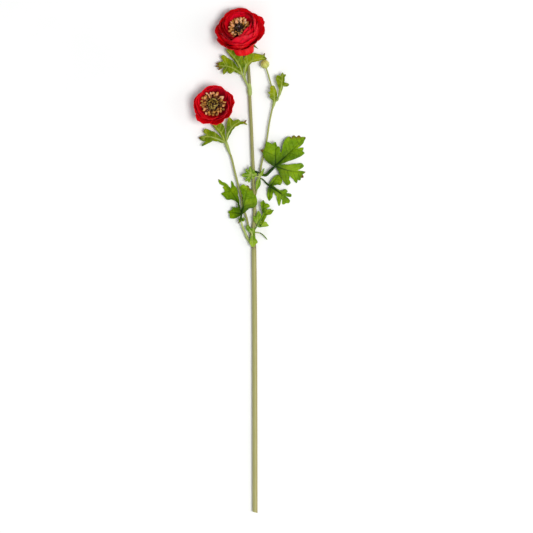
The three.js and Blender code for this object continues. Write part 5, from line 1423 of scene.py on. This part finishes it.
smallBloom = {
    "base": (-49.3, 487.8, 7.8), "axis": (-0.06, 0.12, 0.99), "node": "small_bloom_petals",
    "whorls": [
        {"count": 5, "first": 26, "root": (4.6, 2.0), "length": (23, 24), "halfWidth": 13.5,
         "crimson": 0.8, "rise": (8, 84), "nearRise": (8, 88), "towards": 10, "tuck": 0.8, "wave": 0.3},
        {"count": 5, "first": 40, "root": (5.4, 2.8), "length": (20, 21.5), "halfWidth": 12,
         "crimson": 1.0, "rise": (8, 80), "nearRise": (10, 88), "towards": 15, "tuck": 0.8, "wave": 0.3},
        {"count": 4, "first": 65, "root": (5.9, 3.8), "length": (16.5, 19), "halfWidth": 13,
         "crimson": 1.0, "rise": (8, 74), "nearRise": (10, 84), "towards": 20, "tuck": 0.7, "wave": 0.3}],
    "outer": {"root": (4.2, 0.4), "tuck": 0.8, "wave": 0.3, "claw": 0.4, "crimson": 0.1, "round": 0.16},
    "outerPetals": [
        (-75, 26.2, 10, 2, 66), (-124, 27.8, 11, 2, 66), (-175, 23.0, 14, 2, 66), (112, 20.6, 12, 2, 74),
        (76, 22.0, 13, 2, 66), (14, 25.4, 12, 2, 66), (-27, 25.0, 10, 2, 66), (-150, 23.2, 11, 2, 66)],
    "core": [(0, -1.4), (4.4, -1.4), (7.0, 1.2), (7.6, 3.6), (7.4, 5.4), (0, 5.4)],
    "stamens": "small_bloom_stamens", "seed": 23,
    "cushion": [(0, 5.7), (7.2, 5.7), (8.4, 7.2), (7.8, 8.4), (0, 8.4)],
    # the rows' tone falls from the outer row to the inner: partly the anthers' own tone, partly painted shade
    # deep in the ring
    "rows": [
        {"count": 25, "turn": 0.0, "foot": (6.8, 7.6), "knee": (12.0, 10.2), "head": (15.4, 11.8),
         "width": 2.3, "tone": 0.1},
        {"count": 20, "turn": 0.5, "foot": (6.6, 7.8), "knee": (10.0, 11.0), "head": (13.2, 13.2),
         "width": 2.1, "tone": 0.05},
        {"count": 15, "turn": 0.2, "foot": (6.4, 7.8), "knee": (8.6, 10.4), "head": (10.8, 12.6),
         "width": 1.5, "tone": -0.3}],
    "tint": (0.54, 0.1, 80), "toneSpread": 0.5, "bulge": (0, 1, 0, 0), "off": (0, 0, 0),
    "carpelsNode": "small_bloom_carpels",
    "carpels": {"radius": 6.2, "foot": 8.7, "height": 5.6, "count": 44, "length": 3.3, "width": 1.7,
                "swirl": 1.0, "hollow": 0.0, "off": (0, 0, 0)},
    "calyx": {"node": "small_bloom_calyx", "first": 18, "length": 12, "long": None,
              "ring": [(0, -3.8), (3.6, -3.6), (4.3, -2.5), (3.9, -1.7), (0, -1.7)]},
}
for bloom, skin, carpelSkin in (
        (largeBloom, petalSkin, duskyCarpelSkin), (smallBloom, bowlPetalSkin, oliveCarpelSkin)):
    place = placer(bloom)
    petalsPiece(bloom, place, skin)
    stamensPiece(bloom, placer(bloom, bloom["off"]), antherSkin, domeSkin)
    carpelsPiece(bloom, placer(bloom, bloom["carpels"]["off"]), carpelSkin, domeSkin)
    calyxPiece(bloom, place, bractSkin)
print("blooms ready")

# Camera, looking straight down on the spray as it lies
view = {"aim": (13.8, 294.6), "width": 639.6, "height": 4000, "sensor": 36}
cameraData = bpy.data.cameras.new("camera")
cameraData.sensor_width = view["sensor"]
cameraData.lens = view["sensor"] * view["height"] / view["width"]
cameraData.clip_end = 20
camera = bpy.data.objects.new("camera", cameraData)
bpy.context.collection.objects.link(camera)
camera.location = toRow((*view["aim"], view["height"]))
bpy.context.scene.camera = camera

# Floor
floor = addSheet("floor", 8, 8, 6)
floor.data.materials.append(floorMaterial())


# Soft studio light from the lower right, and a pale room round it
def softLight(name, place, aim, size, power, colour):
    data = bpy.data.lights.new(name, "AREA")
    data.energy = power
    data.size = size
    data.color = colour
    light = bpy.data.objects.new(name, data)
    bpy.context.collection.objects.link(light)
    light.location = place
    light.rotation_euler = (Vector(aim) - Vector(place)).to_track_quat("-Z", "Y").to_euler()


softLight("key", (3.3, -1.2, 7.9), (0, 0.1, 0), 3.8, 570, (1.0, 0.99, 0.97))
softLight("side", (6.6, -0.4, 3.5), (0, 0.1, 0), 4.5, 105, (1.0, 0.99, 0.98))
softLight("fill", (-1.2, -3.6, 2.4), (0, 0.2, 0), 3.2, 32, (0.97, 0.99, 1.0))
world = bpy.data.worlds.new("paleRoom")
world.use_nodes = True
background = world.node_tree.nodes["Background"]
background.inputs["Color"].default_value = linear("f4f6f8")
background.inputs["Strength"].default_value = 0.34
bpy.context.scene.world = world
bpy.context.scene.view_settings.view_transform = "Standard"  # as the photograph: a plain, bright print
print("camera, floor and lights ready")
